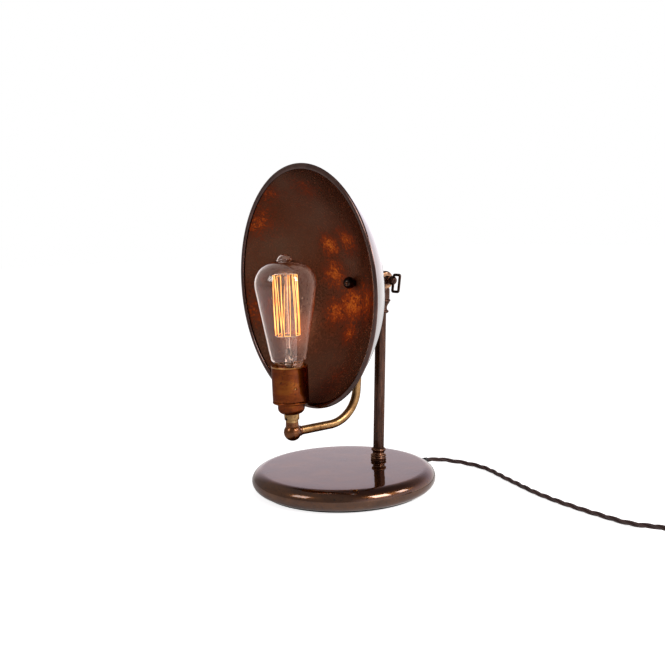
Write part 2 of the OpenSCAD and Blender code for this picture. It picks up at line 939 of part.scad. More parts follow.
// The cores run from the knuckle through the hub, the arm and the ball to the holder
module head_wires() {
    corner = 4;
    hub_turn = [for (q = arc([corner - hub_mid, -corner], corner, 90, 180 - arm_lean, 4)) [0, q[0], q[1]]];
    bend = [for (q = arc([bend_y, bend_z], arm_bend, -arm_lean, -90, 10)) [0, q[0], q[1]]];
    turn = nipple_bore / 2;
    up = [for (q = arc([turn - bulb_reach, turn - arm_drop], turn, 270, 180, 4)) [0, q[0], q[1]]];
    color("tan")
        in_head()
            swept(
                concat(
                    [[0, -(screw_r + 4.5), 0], [0, -hub_back, 0]], hub_turn,
                    [[0, (bend_end[0] - hub_mid) / 2, bend_end[1] / 2]], bend,
                    [[0, (bend_y - bulb_reach) / 2, -arm_drop]], up,
                    [[0, -bulb_reach, insulator_low - arm_drop - 0.3]]
                ),
                [1, 0, 0], wires_r, 8
            );
}

module holder_neck() {
    low = neck_low_d / 2;
    top = neck_top_d / 2;
    color("goldenrod")
        at_bulb()
            difference() {
                turned([
                    [0, neck_low], [low, neck_low], [low, neck_low + 2.2], [top - 0.4, neck_low + 2.6],
                    [top - 0.2, neck_low + 3], [top, neck_top], [0, neck_top]
                ]);
                bar(nipple_r + fit_gap, 0, far);
                at_grub()
                    bar(1.55, 0, far);
            }
}

// The grub screw points in at the neck from the front
module at_grub() {
    translate([0, 0, neck_low + 3.9])
        rotate([90, 0, 10])
            children();
}

module grub_screw() {
    color("dimgray")
        at_bulb()
            at_grub()
                difference() {
                    bar(1.5, nipple_r + fit_gap, neck_top_d / 2 - 0.6);
                    translate([-2, -0.25, neck_top_d / 2 - 1.4])
                        cube([4, 0.5, 2]);
                }
}

module holder_nipple() {
    color("goldenrod")
        at_bulb()
            difference() {
                bar(nipple_r, nipple_low, nipple_top);
                bar(nipple_bore / 2, 0, far);
            }
}

module holder_cup() {
    low = neck_top;
    top = holder_seat - flange_t;
    bowl_out = 14.1;
    color("peru")
        at_bulb()
            difference() {
                turned(concat(
                    [[0, low], [neck_top_d / 2 + 0.2, low]],
                    [for (a = [-80:10:0]) [bowl_out - 7 + 7 * cos(a), low + 6.6 + 6.4 * sin(a)]],
                    [[bowl_out, top], [holder_r - 1.4, top]],
                    arc([holder_r - 1.4, holder_seat - flange_t / 2], flange_t / 2, -90, 70, 8),
                    [[cup_rim_r, holder_seat], [cup_rim_r, cup_rim_top], [0, cup_rim_top]]
                ));
                turned([
                    [0, low + 2], [9, low + 2], [12, low + 4.6], [bowl_out - cup_wall, low + 7],
                    [bowl_out - cup_wall, top + cup_wall], [cup_rim_r - cup_wall, top + cup_wall],
                    [cup_rim_r - cup_wall, cup_rim_top + 1], [0, cup_rim_top + 1]
                ]);
                bar(nipple_r + fit_gap, 0, far);
            }
}

// The barrel has a fine line at its mouth and one punched dimple
module holder_barrel() {
    dimple_turn = -17;
    dimple_z = holder_top - 22;
    color("peru")
        at_bulb()
            difference() {
                turned([
                    [barrel_in, holder_seat], [holder_r, holder_seat], [holder_r, holder_top - 1.5],
                    [holder_r - 0.25, holder_top - 1.3], [holder_r - 0.25, holder_top - 1],
                    [holder_r, holder_top - 0.8], [holder_r, holder_top - 0.3],
                    [holder_r - 0.2, holder_top], [barrel_in, holder_top]
                ]);
                rotate([0, 0, dimple_turn])
                    translate([holder_r + 0.8, 0, dimple_z])
                        sphere(r = 1.4);
            }
}

module holder_insulator() {
    color("ivory")
        at_bulb()
            difference() {
                turned([
                    [0, insulator_low], [insulator_r - 1, insulator_low], [insulator_r - 1, cup_rim_top],
                    [insulator_r, cup_rim_top], [insulator_r, shell_top], [0, shell_top]
                ]);
                bar(shell_out + fit_gap, insulator_floor, far);
                for (x = [-terminal_x, terminal_x])
                    translate([x, 0, 0])
                        bar(1.6, 0, insulator_floor - 1);
                for (y = [-terminal_x, terminal_x])
                    translate([0, y, 0])
                        bar(1.8, 0, far);
            }
}

// A thread drawn as waves between two heights, crests at radius r
function waves(r, z0, z1) = [
    for (i = [0:16])
        let (z = z0 + (z1 - z0) * i / 16)
            [r - thread_depth * (0.5 + 0.5 * cos(360 * (z - z0) / thread_pitch)), z]
];

module screw_shell() {
    skin = shell_gap + thread_depth;
    color("goldenrod")
        at_bulb()
            turned(concat(
                waves(cap_r + skin, insulator_floor, shell_top),
                [[shell_out, shell_top], [shell_out, insulator_floor]]
            ));
}

// A bent strip that presses up on the cap's contact
module centre_contact() {
    z = insulator_floor;
    color("goldenrod")
        at_bulb()
            rotate([90, 0, 0])
                linear_extrude(5, center = true)
                    polygon([
                        [-9, z], [5, z], [5, z + 0.8], [-7, z + 0.8], [-1, cap_low - 1.4], [3, cap_low - 1.1],
                        [3, cap_low - 0.3], [-1.4, cap_low - 0.6], [-9, z + 1]
                    ]);
}

module terminal_screws() {
    color("silver")
        at_bulb()
            for (x = [-terminal_x, terminal_x])
                translate([x, 0, 0]) {
                    bar(1.55, insulator_low - 0.5, insulator_floor - 1.2);
                    bar(2.8, insulator_low - 2.2, insulator_low);
                }
}

// The pear outline of the glass from its tip down to the cap, set in by t
function pear(t) = concat(
    arc([bulb_r - shoulder_r, shoulder_z], shoulder_r - t, 87, -9.6, 14),
    [[glass_neck_d / 2 + 1 - t, neck_z + 4], [glass_neck_d / 2 - t, neck_z]],
    arc([glass_neck_d / 2 - 4.2, neck_z - 1], 4.2 - t, 0, -70, 5),
    [[cap_r - thread_depth - t - 0.1, cap_top + 0.4], [cap_r - thread_depth - t - 0.1, cap_top - 6]]
);

module bulb_glass() {
    tip = bulb_tip;
    low = cap_top - 6;
    pip = concat(
        arc([0, tip - 8.2], 8.2, 90, 20, 7),
        [[pip_r - 1, tip - pip_h + 1], [pip_r, tip - pip_h + 0.2]]
    );
    color("lightyellow", 0.4)
        at_bulb()
            difference() {
                turned(concat(pip, pear(0), [[0, low]]));
                turned(concat([[0, shoulder_z + shoulder_r - glass_t]], pear(glass_t), [[0, low - 1]]));
            }
}

module bulb_cap() {
    in_r = cap_r - thread_depth;
    color("goldenrod")
        at_bulb()
            difference() {
                turned(concat(
                    [[0, thread_low - 0.6], [in_r - 2.4, thread_low - 0.6]],
                    waves(cap_r, thread_low, cap_top - 5),
                    [[cap_r, cap_top - 4.4], [cap_r, cap_top - 0.4], [cap_r - 0.2, cap_top], [0, cap_top]]
                ));
                turned([
                    [0, thread_low], [in_r - 2.6, thread_low], [in_r - 0.8, thread_low + 2],
                    [in_r - 0.8, cap_top - 6.4], [in_r, cap_top - 6], [in_r, cap_top + 1], [0, cap_top + 1]
                ]);
                bar(4, 0, thread_low + 1);
            }
}

module cap_insulator() {
    color("black")
        at_bulb()
            difference() {
                turned([
                    [0, cap_low + contact_h], [4.9, cap_low + contact_h],
                    [cap_r - thread_depth - 2.5, thread_low - 0.65], [0, thread_low - 0.65]
                ]);
                bar(1.2, 0, far);
            }
}

module cap_contact() {
    color("silver")
        at_bulb() {
            turned([
                [0, cap_low], [3, cap_low + 0.3], [4.6, cap_low + 1.2], [4.6, cap_low + contact_h],
                [0, cap_low + contact_h]
            ]);
            bar(1.15, cap_low + 1, thread_low + 2);
        }
}

// The flare, the flat pinch and the rod that stand up inside the glass
module glass_mount() {
    flare_r = cap_r - thread_depth - glass_t - 0.4;
    color("lightcyan", 0.5)
        at_bulb()
            difference() {
                union() {
                    turned([
                        [0, cap_top - 5.8], [flare_r, cap_top - 5.8], [flare_r - 1, cap_top - 4.6],
                        [5.2, cap_top + 1], [4.4, pinch_z - 9], [0, pinch_z - 9]
                    ]);
                    translate([-4.4, -1.6, pinch_z - 11])
                        cube([8.8, 3.2, 11]);
                    bar(1.5, pinch_z - 1, cage_top);
                    translate([0, 0, cage_top])
                        sphere(r = knob_r);
                    translate([0, 0, spoke_low])
                        sphere(r = knob_low_r);
                }
                mount_wires(fit_gap);
                turned([
                    [0, cap_top - 6.8], [flare_r - 1.4, cap_top - 6.8], [4, cap_top + 0.6],
                    [3.2, pinch_z - 12], [0, pinch_z - 12]
                ]);
            }
}

// Spokes carry the filament at the top and the bottom, and two leads bring it current. Their roots sit in
// the glass, in holes that are larger by grow.
module mount_wires(grow) {
    root = 0.4;
    spokes = strands / 2;
    for (k = [0:spokes - 1]) {
        rotate([0, 0, 360 * (k + 0.75) / spokes])
            translate([0, 0, spoke_up])
                rotate([0, 90, 0])
                    bar(spoke_r + grow, knob_r - root - grow, cage_r);
        rotate([0, 0, 360 * (k + 0.25) / spokes])
            translate([0, 0, spoke_low])
                rotate([0, 90, 0])
                    bar(spoke_r + grow, knob_low_r - root - grow, cage_r);
    }
    for (x = [-lead_x, lead_x])
        translate([x, 0, 0])
            bar(lead_r + grow, pinch_z - root - grow, spoke_low);
}

module support_wires() {
    color("silver")
        at_bulb()
            mount_wires(0);
}

// One thread zigzags up and down round the cage
module filament() {
    thread = 0.3;
    rise = [cage_top - 0.6, cage_low - 2.2];
    path = [
        for (i = [0:strands - 1], e = [0, 1])
            let (a = 360 * i / strands, up = (i + e) % 2)
                [cage_r * cos(a), cage_r * sin(a), rise[up]]
    ];
    refs = [for (q = path) [q[0], q[1], 0]];
    color("orange")
        at_bulb()
            swept(path, refs, thread, 6);
}

module cord_run() {
    color("saddlebrown")
        swept(run_points, [0, 0, 1], cord_r, 10);
}

module in_switch() {
    translate([switch_x + switch_l / 2, switch_y, 0])
        children();
}

module switch_base() {
    color("black")
        in_switch()
            difference() {
                linear_extrude(switch_split)
                    polygon(rounded(switch_l, switch_w, 7));
                translate([0, 0, switch_wall])
                    linear_extrude(switch_split)
                        polygon(rounded(switch_l - 6, switch_w - 2 * switch_wall, 5));
            }
}

module switch_cover() {
    color("black")
        in_switch()
            difference() {
                union() {
                    translate([0, 0, switch_split])
                        linear_extrude(switch_h - switch_split - 2)
                            polygon(rounded(switch_l, switch_w, 7));
                    translate([0, 0, switch_h - 2])
                        linear_extrude(1)
                            polygon(rounded(switch_l - 1.6, switch_w - 1.6, 6.2));
                    translate([0, 0, switch_h - 1])
                        linear_extrude(1)
                            polygon(rounded(switch_l - 4.4, switch_w - 4.4, 4.8));
                }
                translate([0, 0, switch_split - 1])
                    linear_extrude(rocker_z - switch_split - 1.2)
                        polygon(rounded(switch_l - 6, switch_w - 2 * switch_wall, 5));
                translate([-window_l / 2, -window_w / 2, 0])
                    cube([window_l, window_w, far]);
                translate([0, 0, rocker_z])
                    rotate([90, 0, 0])
                        translate([0, 0, -window_w / 2 - 2])
                            cylinder(r = rocker_pin_r + fit_gap, h = window_w + 4);
            }
}

module switch_contacts() {
    color("goldenrod")
        in_switch()
            for (x = [-1, 1])
                translate([x * 10, 0, 0])
                    translate([-2.5, -4, switch_wall])
                        cube([5, 8, 3.5]);
}

// The rocker is a shallow V on a cross pin, tipped to its ON side at rest
module switch_rocker() {
    l = window_l / 2 - slip_gap - 0.3;
    color("dimgray")
        in_switch()
            translate([0, 0, rocker_z])
                rotate([90, rocker_tip, 0]) {
                    linear_extrude(window_w - 2 * slip_gap, center = true)
                        polygon([
                            [-l, 2.4], [-l + 0.6, -1.2], [0, -2.6], [l - 0.6, -1.2], [l, 2.4], [l - 1, 4.6],
                            [0, 3.4], [-l + 1, 4.6]
                        ]);
                    cylinder(r = rocker_pin_r, h = window_w + 3.4, center = true);
                }
}

module cord_link() {
    color("saddlebrown")
        swept(link_points, [0, 0, 1], cord_r, 10);
}

// Height of the coil's turn s: it climbs one layer in the half turn about the reversal
function climb(s) =
    let (x = min(1, max(0, (s - layer_turns) / 0.5 + 0.5)))
        coil_z + coil_pitch * x * x * (3 - 2 * x);
function coil_point(s) =
    let (r = coil_in + coil_pitch * abs(layer_turns - s), a = 360 * s)
        [coil_x + r * cos(a), coil_y + r * sin(a), climb(s)];
coil_steps = round(2 * layer_turns * loop_rings);
coil_path = concat(
    [coil_point(0) - [0, cord_d, 0]],
    [for (i = [0:coil_steps]) coil_point(2 * layer_turns * i / coil_steps)],
    [coil_point(2 * layer_turns) - [cord_d, 0, 0]]
);
coil_least = min([
    for (i = [0:coil_steps], j = [i + loop_rings / 2:coil_steps + 1]) norm(coil_path[i] - coil_path[j])
]);

module cord_coil() {
    echo(least_gap_between_turns = coil_least - cord_d);
    color("saddlebrown")
        swept(coil_path, [0, 0, 1], cord_r, 6);
}

// A strap round both layers on the coil's far side from the plug
module coil_tie() {
    inner = coil_in - cord_r - tie_gap;
    outer = coil_r + cord_r + tie_gap;
    low = coil_z - cord_r - tie_gap / 2;
    high = coil_z + coil_pitch + cord_r + tie_gap;
    color("black")
        translate([coil_x, coil_y, 0])
            rotate([0, 0, -60])
                difference() {
                    translate([inner - tie_t, -tie_w / 2, max(0, low - tie_t)])
                        cube([outer - inner + 2 * tie_t, tie_w, high + tie_t - max(0, low - tie_t)]);
                    translate([inner, -tie_w, low])
                        cube([outer - inner, 2 * tie_w, high - low]);
                }
}

module cord_tail() {
    color("saddlebrown")
        swept(tail_points, [0, 0, 1], cord_r, 10);
}

// The plug lies on its back with its pins up; x runs from the cord's entry to the far end
module in_plug() {
    translate([plug_x, plug_y, 0])
        rotate([0, 0, 180])
            children();
}

module plug_outline(inset) {
    translate([plug_l / 2, 0])
        polygon(rounded(plug_l - 2 * inset, plug_w - 2 * inset, 9 - inset));
}

module plug_cover() {
    color("black")
        in_plug()
            difference() {
                union() {
                    linear_extrude(1.5)
                        plug_outline(1.5);
                    translate([0, 0, 1.5])
                        linear_extrude(plug_half - 1.5)
                            plug_outline(0);
                }
                translate([0, 0, 2.5])
                    linear_extrude(plug_half)
                        plug_outline(3);
                translate([plug_l / 2, 0, 0])
                    bar(2 + fit_gap, -1, far);
            }
}

module plug_base() {
    color("black")
        in_plug()
            difference() {
                union() {
                    translate([0, 0, plug_half])
                        linear_extrude(plug_half - 1.5)
                            plug_outline(0);
                    translate([0, 0, plug_t - 1.5])
                        linear_extrude(1.5)
                            plug_outline(1.5);
                }
                translate([0, 0, plug_half - 1])
                    linear_extrude(plug_t - plug_web - plug_half + 1)
                        plug_outline(3);
                at_pins(fit_gap);
                translate([plug_l / 2, 0, 0])
                    bar(2 + fit_gap, 0, plug_t - 2);
            }
}

// The earth pin stands farthest from the cord, the two line pins nearest to it
module at_pins(grow) {
    root = plug_t - 9;
    earth_x0 = plug_l - pin_edge;
    translate([earth_x0, 0, root + (earth_pin[2] + 9) / 2])
        cube(earth_pin + [2 * grow, 2 * grow, 9], center = true);
    for (y = [-1, 1])
        translate([earth_x0 - pin_pitch, y * pin_pitch / 2, root + (line_pin[2] + 9) / 2])
            cube(line_pin + [2 * grow, 2 * grow, 9], center = true);
}

module plug_pins() {
    color("goldenrod")
        in_plug()
            at_pins(0);
}

module plug_fuse() {
    color("ivory")
        in_plug()
            translate([
                plug_l - pin_edge - pin_pitch + line_pin[0] / 2 + fuse_gap, pin_pitch / 2,
                plug_t - plug_web - fuse_gap - fuse_r
            ])
                rotate([0, 90, 0])
                    cylinder(r = fuse_r, h = fuse_l);
}

module plug_screw() {
    color("silver")
        in_plug()
            translate([plug_l / 2, 0, 0])
                bar(2, 0.4, plug_t - 2.4);
}

felt_pad();
base_shell();
base_weight();
foot_collar();
foot_nipple();
foot_washer();
foot_nut();
earth_screw();
cord_grip();
grip_screws();
cord_bush();
base_lead();
stem_tube();
stem_wires();
top_collar();
knuckle_fork();
fibre_washers();
clamp_screw();
key_ring();
knuckle_tongue();
arm_hub();
shade_stud();
cupped_washer();
dish_shade();
ball_nut();
arm_tube();
ball_elbow();
head_wires();
holder_neck();
grub_screw();
holder_nipple();
holder_cup();
holder_barrel();
holder_insulator();
screw_shell();
centre_contact();
terminal_screws();
bulb_glass();
bulb_cap();
cap_insulator();
cap_contact();
glass_mount();
support_wires();
filament();
cord_run();
switch_base();
switch_cover();
switch_contacts();
switch_rocker();
cord_link();
cord_coil();
coil_tie();
cord_tail();
plug_base();
plug_cover();
plug_pins();
plug_fuse();
plug_screw();
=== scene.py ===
# A table lamp in aged brass: a patinated dish and a bare pear bulb on a tilting knuckle above a round foot.
# Sizes are in millimetres until they reach a mesh, which is in metres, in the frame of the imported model.
import math

import bmesh
import bpy
from mathutils import Matrix, Vector


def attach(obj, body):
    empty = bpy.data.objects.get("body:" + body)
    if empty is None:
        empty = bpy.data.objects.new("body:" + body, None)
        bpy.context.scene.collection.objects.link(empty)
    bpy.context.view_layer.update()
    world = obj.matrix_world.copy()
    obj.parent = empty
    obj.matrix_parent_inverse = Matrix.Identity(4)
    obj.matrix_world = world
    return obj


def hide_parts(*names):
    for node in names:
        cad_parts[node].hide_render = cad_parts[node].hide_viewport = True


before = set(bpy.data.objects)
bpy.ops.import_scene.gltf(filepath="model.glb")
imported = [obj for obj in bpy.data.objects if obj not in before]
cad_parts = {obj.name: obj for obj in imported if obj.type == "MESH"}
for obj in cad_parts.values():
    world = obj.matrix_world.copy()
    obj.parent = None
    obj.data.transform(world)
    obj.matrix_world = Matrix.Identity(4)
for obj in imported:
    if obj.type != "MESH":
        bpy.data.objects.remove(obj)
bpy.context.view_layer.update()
MM = 0.001
scene = bpy.context.scene


# Camera
# A medium lens at the height of the dish, a metre away, to the right of the dish's open side.
eye = Vector((0.7891, -0.5620, 0.2908))
right = Vector((0.57588, 0.81709, -0.02705))
down = Vector((0.08492, -0.09270, -0.99207))
forward = Vector((-0.81311, 0.56901, -0.12277))
lens = bpy.data.cameras.new("camera")
lens.sensor_width = 36
lens.lens = 49.21
camera = bpy.data.objects.new("camera", lens)
scene.collection.objects.link(camera)
facing = Matrix((right, -down, -forward)).transposed().to_quaternion()
camera.matrix_world = Matrix.LocRotScale(eye, facing, None)
scene.camera = camera


# Cord
# Three cores, each in dark brown braided cotton, twisted together. It leaves the foot at the back, lies on
# the table and goes on to an in-line switch, a coil of spare cord in a strap and a plug.
core_r = 1.2
twist_r = 1.4
lay = 52
core_step = 2.6
braid_step = 0.9
braid_round = 6
run_points = [
    (0, 112, 9), (0, 120, 9), (0.5, 126, 8.6), (2.5, 133, 8), (6, 140, 7.2), (11, 146, 6), (18, 152.5, 4.9),
    (28, 158.5, 3.8), (40, 162.5, 2.9), (53, 163, 2.6), (67, 160, 2.6), (82, 155.5, 2.6), (97, 151, 2.6),
    (112, 147, 2.6), (127, 143, 2.6), (142, 139, 2.6), (158, 135.5, 2.6), (174, 133, 2.6), (190, 131, 2.6),
    (206, 130, 2.6), (222, 129, 2.6), (238, 129, 2.6), (254, 129, 2.6), (270, 129.5, 2.8), (286, 130, 4.2),
    (302, 130, 7), (315, 130, 8.3), (325.5, 130, 8.5)
]
link_points = [
    (380.5, 130, 8.5), (390, 130, 8.3), (399, 132, 7.4), (408, 138, 6), (414, 147, 4.8), (417, 158, 4),
    (417, 170, 3.6), (417, 180, 3.6)
]
tail_points = [(366, 232, 9.5), (360, 232, 9.7), (348, 232, 10.4), (336, 232, 11.3), (323, 232, 11.5)]
coil_mid = Vector((377, 192))
coil_r = 40
coil_turns = 3.625
coil_pitch = 5.9
coil_z = 3.6
coil_steps = 174


def coil_point(turn):
    """A point of the two-layer coil, which winds inwards below and outwards above."""
    r = coil_r - coil_pitch * (coil_turns - abs(coil_turns - turn))
    rise = min(1, max(0, (turn - coil_turns) / 0.5 + 0.5))
    a = math.tau * turn
    return (coil_mid.x + r * math.cos(a), coil_mid.y + r * math.sin(a),
            coil_z + coil_pitch * rise * rise * (3 - 2 * rise))


def route(points, step):
    """Evenly spaced points, about step mm apart, on one smooth curve through the given ones."""
    pts = [Vector(p) for p in points]
    pts = [2 * pts[0] - pts[1]] + pts + [2 * pts[-1] - pts[-2]]
    fine = []
    for a, b, c, d in zip(pts, pts[1:], pts[2:], pts[3:]):
        for t in (i / 10 for i in range(10)):
            fine.append(b + 0.5 * t * (c - a + t * (2 * a - 5 * b + 4 * c - d + t * (3 * (b - c) + d - a))))
    fine.append(pts[-2])
    run = [0.0]
    for a, b in zip(fine, fine[1:]):
        run.append(run[-1] + (b - a).length)
    count = max(2, round(run[-1] / step))
    even, j = [], 0
    for i in range(count + 1):
        s = run[-1] * i / count
        while j < len(run) - 2 and run[j + 1] < s:
            j += 1
        even.append(fine[j].lerp(fine[j + 1], (s - run[j]) / (run[j + 1] - run[j])))
    return even


def tubes(name, lines, radius, sides=3, cyclic=False):
    """One mesh of round tubes along lines of points in mm; its UVs run along and round each tube."""
    curve = bpy.data.curves.new(name, "CURVE")
    curve.dimensions = "3D"
    curve.bevel_depth = radius * MM
    curve.bevel_resolution = sides
    curve.use_fill_caps = True
    for line in lines:
        spline = curve.splines.new("POLY")
        spline.points.add(len(line) - 1)
        spline.use_cyclic_u = cyclic
        for point, p in zip(spline.points, line):
            point.co = (p[0] * MM, p[1] * MM, p[2] * MM, 1)
    holder = bpy.data.objects.new(name, curve)
    scene.collection.objects.link(holder)
    bpy.context.view_layer.update()
    mesh = bpy.data.meshes.new_from_object(holder.evaluated_get(bpy.context.evaluated_depsgraph_get()))
    bpy.data.objects.remove(holder)
    mesh.name = name
    mesh.shade_smooth()
    made = bpy.data.objects.new(name, mesh)
    scene.collection.objects.link(made)
    return made


def twisted(name, line):
    """The three cores of the cord round one line, which has a point every core_step mm."""
    cores = [[], [], []]
    side = Vector((0, 0, 1))
    for i, p in enumerate(line):
        ahead = (line[min(i + 1, len(line) - 1)] - line[max(i - 1, 0)]).normalized()
        side = (side - side.dot(ahead) * ahead).normalized()
        up = ahead.cross(side)
        for k, core in enumerate(cores):
            a = math.tau * (i * core_step / lay + k / 3)
            core.append(p + twist_r * (side * math.cos(a) + up * math.sin(a)))
    return tubes(name, cores, core_r)


def linear(colour):
    """An sRGB hex colour as linear red, green, blue and alpha."""
    parts = [int(colour[i:i + 2], 16) / 255 for i in (1, 3, 5)]
    return [c / 12.92 if c < 0.04045 else ((c + 0.055) / 1.055) ** 2.4 for c in parts] + [1]


def add(tree, kind, inputs=None, stops=None, **settings):
    """Adds a shader node with its settings, its sockets' values or links, and a ramp's stops."""
    made = tree.nodes.new("ShaderNode" + kind)
    for key, value in settings.items():
        setattr(made, key, value)
    for key, value in (inputs or {}).items():
        if isinstance(value, bpy.types.NodeSocket):
            tree.links.new(value, made.inputs[key])
        else:
            made.inputs[key].default_value = linear(value) if isinstance(value, str) else value
    if stops:
        elements = made.color_ramp.elements
        while len(elements) < len(stops):
            elements.new(1)
        for element, (position, colour) in zip(elements, stops):
            element.position = position
            element.color = linear(colour)
    return made


def blank(name):
    """A new material and its empty tree."""
    made = bpy.data.materials.new(name)
    made.use_nodes = True
    made.node_tree.nodes.clear()
    return made, made.node_tree


def surface(tree, inputs):
    """A Principled shader with these inputs, as the material's surface."""
    shader = add(tree, "BsdfPrincipled", inputs)
    add(tree, "OutputMaterial", {"Surface": shader.outputs[0]})


def braided_cotton(name, length):
    """Mercerised cotton braid, dark brown with a soft sheen, faded in patches of 11 mm. Its threads cross
    round each core and are drawn a little coarse, to show."""
    made, tree = blank(name)
    place = add(tree, "TexCoord").outputs["UV"]
    grid = add(tree, "Mapping", {"Vector": place, "Scale": (length / braid_step, braid_round, 1)}).outputs[0]
    braid = add(tree, "TexWave", {"Vector": grid, "Scale": 0.5, "Distortion": 0.4, "Detail": 0.0},
                bands_direction="DIAGONAL", wave_profile="SIN").outputs["Fac"]
    spot = add(tree, "TexCoord").outputs["Object"]
    fade = add(tree, "TexNoise", {"Vector": spot, "Scale": 90.0, "Detail": 3.0}).outputs["Fac"]
    mixed = add(tree, "Math", {0: braid, 1: fade}, operation="MULTIPLY").outputs[0]
    browns = [(0.05, "#1c0d0a"), (0.35, "#361a14"), (0.75, "#533028")]
    colour = add(tree, "ValToRGB", {"Fac": mixed}, browns)
    bump = add(tree, "Bump", {"Height": braid, "Distance": 0.15 * MM, "Strength": 0.6})
    surface(tree, {"Base Color": colour.outputs[0], "Roughness": 0.62, "Sheen Weight": 0.15,
                   "Sheen Tint": "#8a6a5c", "Normal": bump.outputs[0]})
    return made


def fit(made, body, slot, *nodes):
    """The piece rides on a body and stands for these CAD nodes, which are hidden. The slot is not used."""
    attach(made, body)
    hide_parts(*nodes)


run_line = route(run_points, core_step)
cord_run = twisted("cord_to_switch", run_line)
cord_run.data.materials.append(braided_cotton("braided_cotton_run", core_step * len(run_line)))
fit(cord_run, "stand", "cord_brown", "cord_run")
winding = [coil_point(2 * coil_turns * i / coil_steps) for i in range(coil_steps + 1)]
spare_line = route(link_points + winding + tail_points, core_step)
cord_spare = twisted("cord_to_plug", spare_line)
cord_spare.data.materials.append(braided_cotton("braided_cotton_spare", core_step * len(spare_line)))
fit(cord_spare, "stand", "cord_brown", "cord_link", "cord_coil", "cord_tail")


# Strap
# A woven black strap holds the spare turns together. It passes under and over both layers.
def piece(name, bm, finish, place=None, crease=35):
    """A bmesh as an object at the origin, in place, smooth but for edges sharper than crease degrees."""
    if place:
        bmesh.ops.transform(bm, matrix=place, verts=bm.verts[:])
    for face in bm.faces:
        face.smooth = True
    for edge in bm.edges:
        edge.smooth = len(edge.link_faces) == 2 and edge.calc_face_angle(0) < math.radians(crease)
    mesh = bpy.data.meshes.new(name)
    bm.to_mesh(mesh)
    bm.free()
    mesh.materials.append(finish)
    made = bpy.data.objects.new(name, mesh)
    scene.collection.objects.link(made)
    return made


def softened(bm, width, segments=2, crease=25):
    """Rounds the edges sharper than crease degrees by width mm."""
    sharp = [e for e in bm.edges if len(e.link_faces) == 2 and e.calc_face_angle(0) > math.radians(crease)]
    bmesh.ops.bevel(bm, geom=sharp, offset=width * MM, segments=segments, profile=0.5, affect="EDGES",
                    material=-1, clamp_overlap=True)
    return bm


def from_frame(node, width, segments=2):
    """A welded copy of a CAD node's mesh, its flats joined and its edges rounded by width mm."""
    bm = bmesh.new()
    bm.from_mesh(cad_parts[node].data)
    bmesh.ops.remove_doubles(bm, verts=bm.verts[:], dist=2e-6)
    bmesh.ops.dissolve_limit(bm, angle_limit=math.radians(0.5), verts=bm.verts[:], edges=bm.edges[:])
    return softened(bm, width, segments) if width else bm


def woven(name, dark, light, pitch, rough, height):
    """Cloth with threads every pitch mm both ways, drawn as crossed waves, under a nap of 1 mm."""
    made, tree = blank(name)
    spot = add(tree, "TexCoord").outputs["Object"]
    count = math.pi / (10 * pitch * MM)
    weave = []
    for way in ("X", "Y"):
        threads = add(tree, "TexWave", {"Vector": spot, "Scale": count, "Distortion": 0.6},
                      bands_direction=way)
        weave.append(threads.outputs["Fac"])
    cloth = add(tree, "Math", {0: weave[0], 1: weave[1]}, operation="MULTIPLY").outputs[0]
    wool = add(tree, "TexNoise", {"Vector": spot, "Scale": 900.0, "Detail": 5.0}).outputs["Fac"]
    mixed = add(tree, "Math", {0: cloth, 1: wool}, operation="ADD").outputs[0]
    colour = add(tree, "ValToRGB", {"Fac": mixed}, [(0.3, dark), (1.0, light)])
    bump = add(tree, "Bump", {"Height": mixed, "Distance": height * MM, "Strength": 0.7})
    surface(tree, {"Base Color": colour.outputs[0], "Roughness": rough, "Sheen Weight": 0.3,
                   "Normal": bump.outputs[0]})
    return made


strap_cloth = woven("woven_strap", "#0b0b0c", "#2c2b2c", 0.8, 0.85, 0.2)
strap = piece("coil_strap", from_frame("coil_tie", 0.15), strap_cloth)
fit(strap, "stand", "tie_black", "coil_tie")


# Cord switch
# Two moulded phenolic halves with a rocker between them on a steel pin, and two brass contacts inside.
def moulded(name, colour, light, rough, grain):
    """Moulded phenolic: deep black, softly glossy, with an orange peel of grain mm and smears of 17 mm."""
    made, tree = blank(name)
    spot = add(tree, "TexCoord").outputs["Object"]
    peel = add(tree, "TexNoise", {"Vector": spot, "Scale": 1 / (grain * MM), "Detail": 2.0}).outputs["Fac"]
    smear = add(tree, "TexNoise", {"Vector": spot, "Scale": 60.0, "Detail": 4.0}).outputs["Fac"]
    tone = add(tree, "ValToRGB", {"Fac": smear}, [(0.35, colour), (0.75, light)])
    sheen = add(tree, "MapRange", {"Value": smear, "To Min": rough - 0.08, "To Max": rough + 0.12})
    bump = add(tree, "Bump", {"Height": peel, "Distance": 0.04 * MM, "Strength": 0.5})
    surface(tree, {"Base Color": tone.outputs[0], "Roughness": sheen.outputs[0], "IOR": 1.55,
                   "Normal": bump.outputs[0]})
    return made


phenolic = moulded("moulded_phenolic", "#0c0b0c", "#171516", 0.3, 0.9)
gloss_phenolic = moulded("glossy_phenolic", "#141314", "#1d1b1c", 0.18, 1.2)
lower_half = piece("switch_lower_half", from_frame("switch_base", 0.5, 3), phenolic)
fit(lower_half, "stand", "black_plastic", "switch_base")
upper_half = piece("switch_upper_half", from_frame("switch_cover", 0.5, 3), phenolic)
fit(upper_half, "stand", "black_plastic", "switch_cover")
rocker_key = piece("switch_rocker_key", from_frame("switch_rocker", 0.4, 3), gloss_phenolic)
fit(rocker_key, "rocker", "rocker_plastic", "switch_rocker")


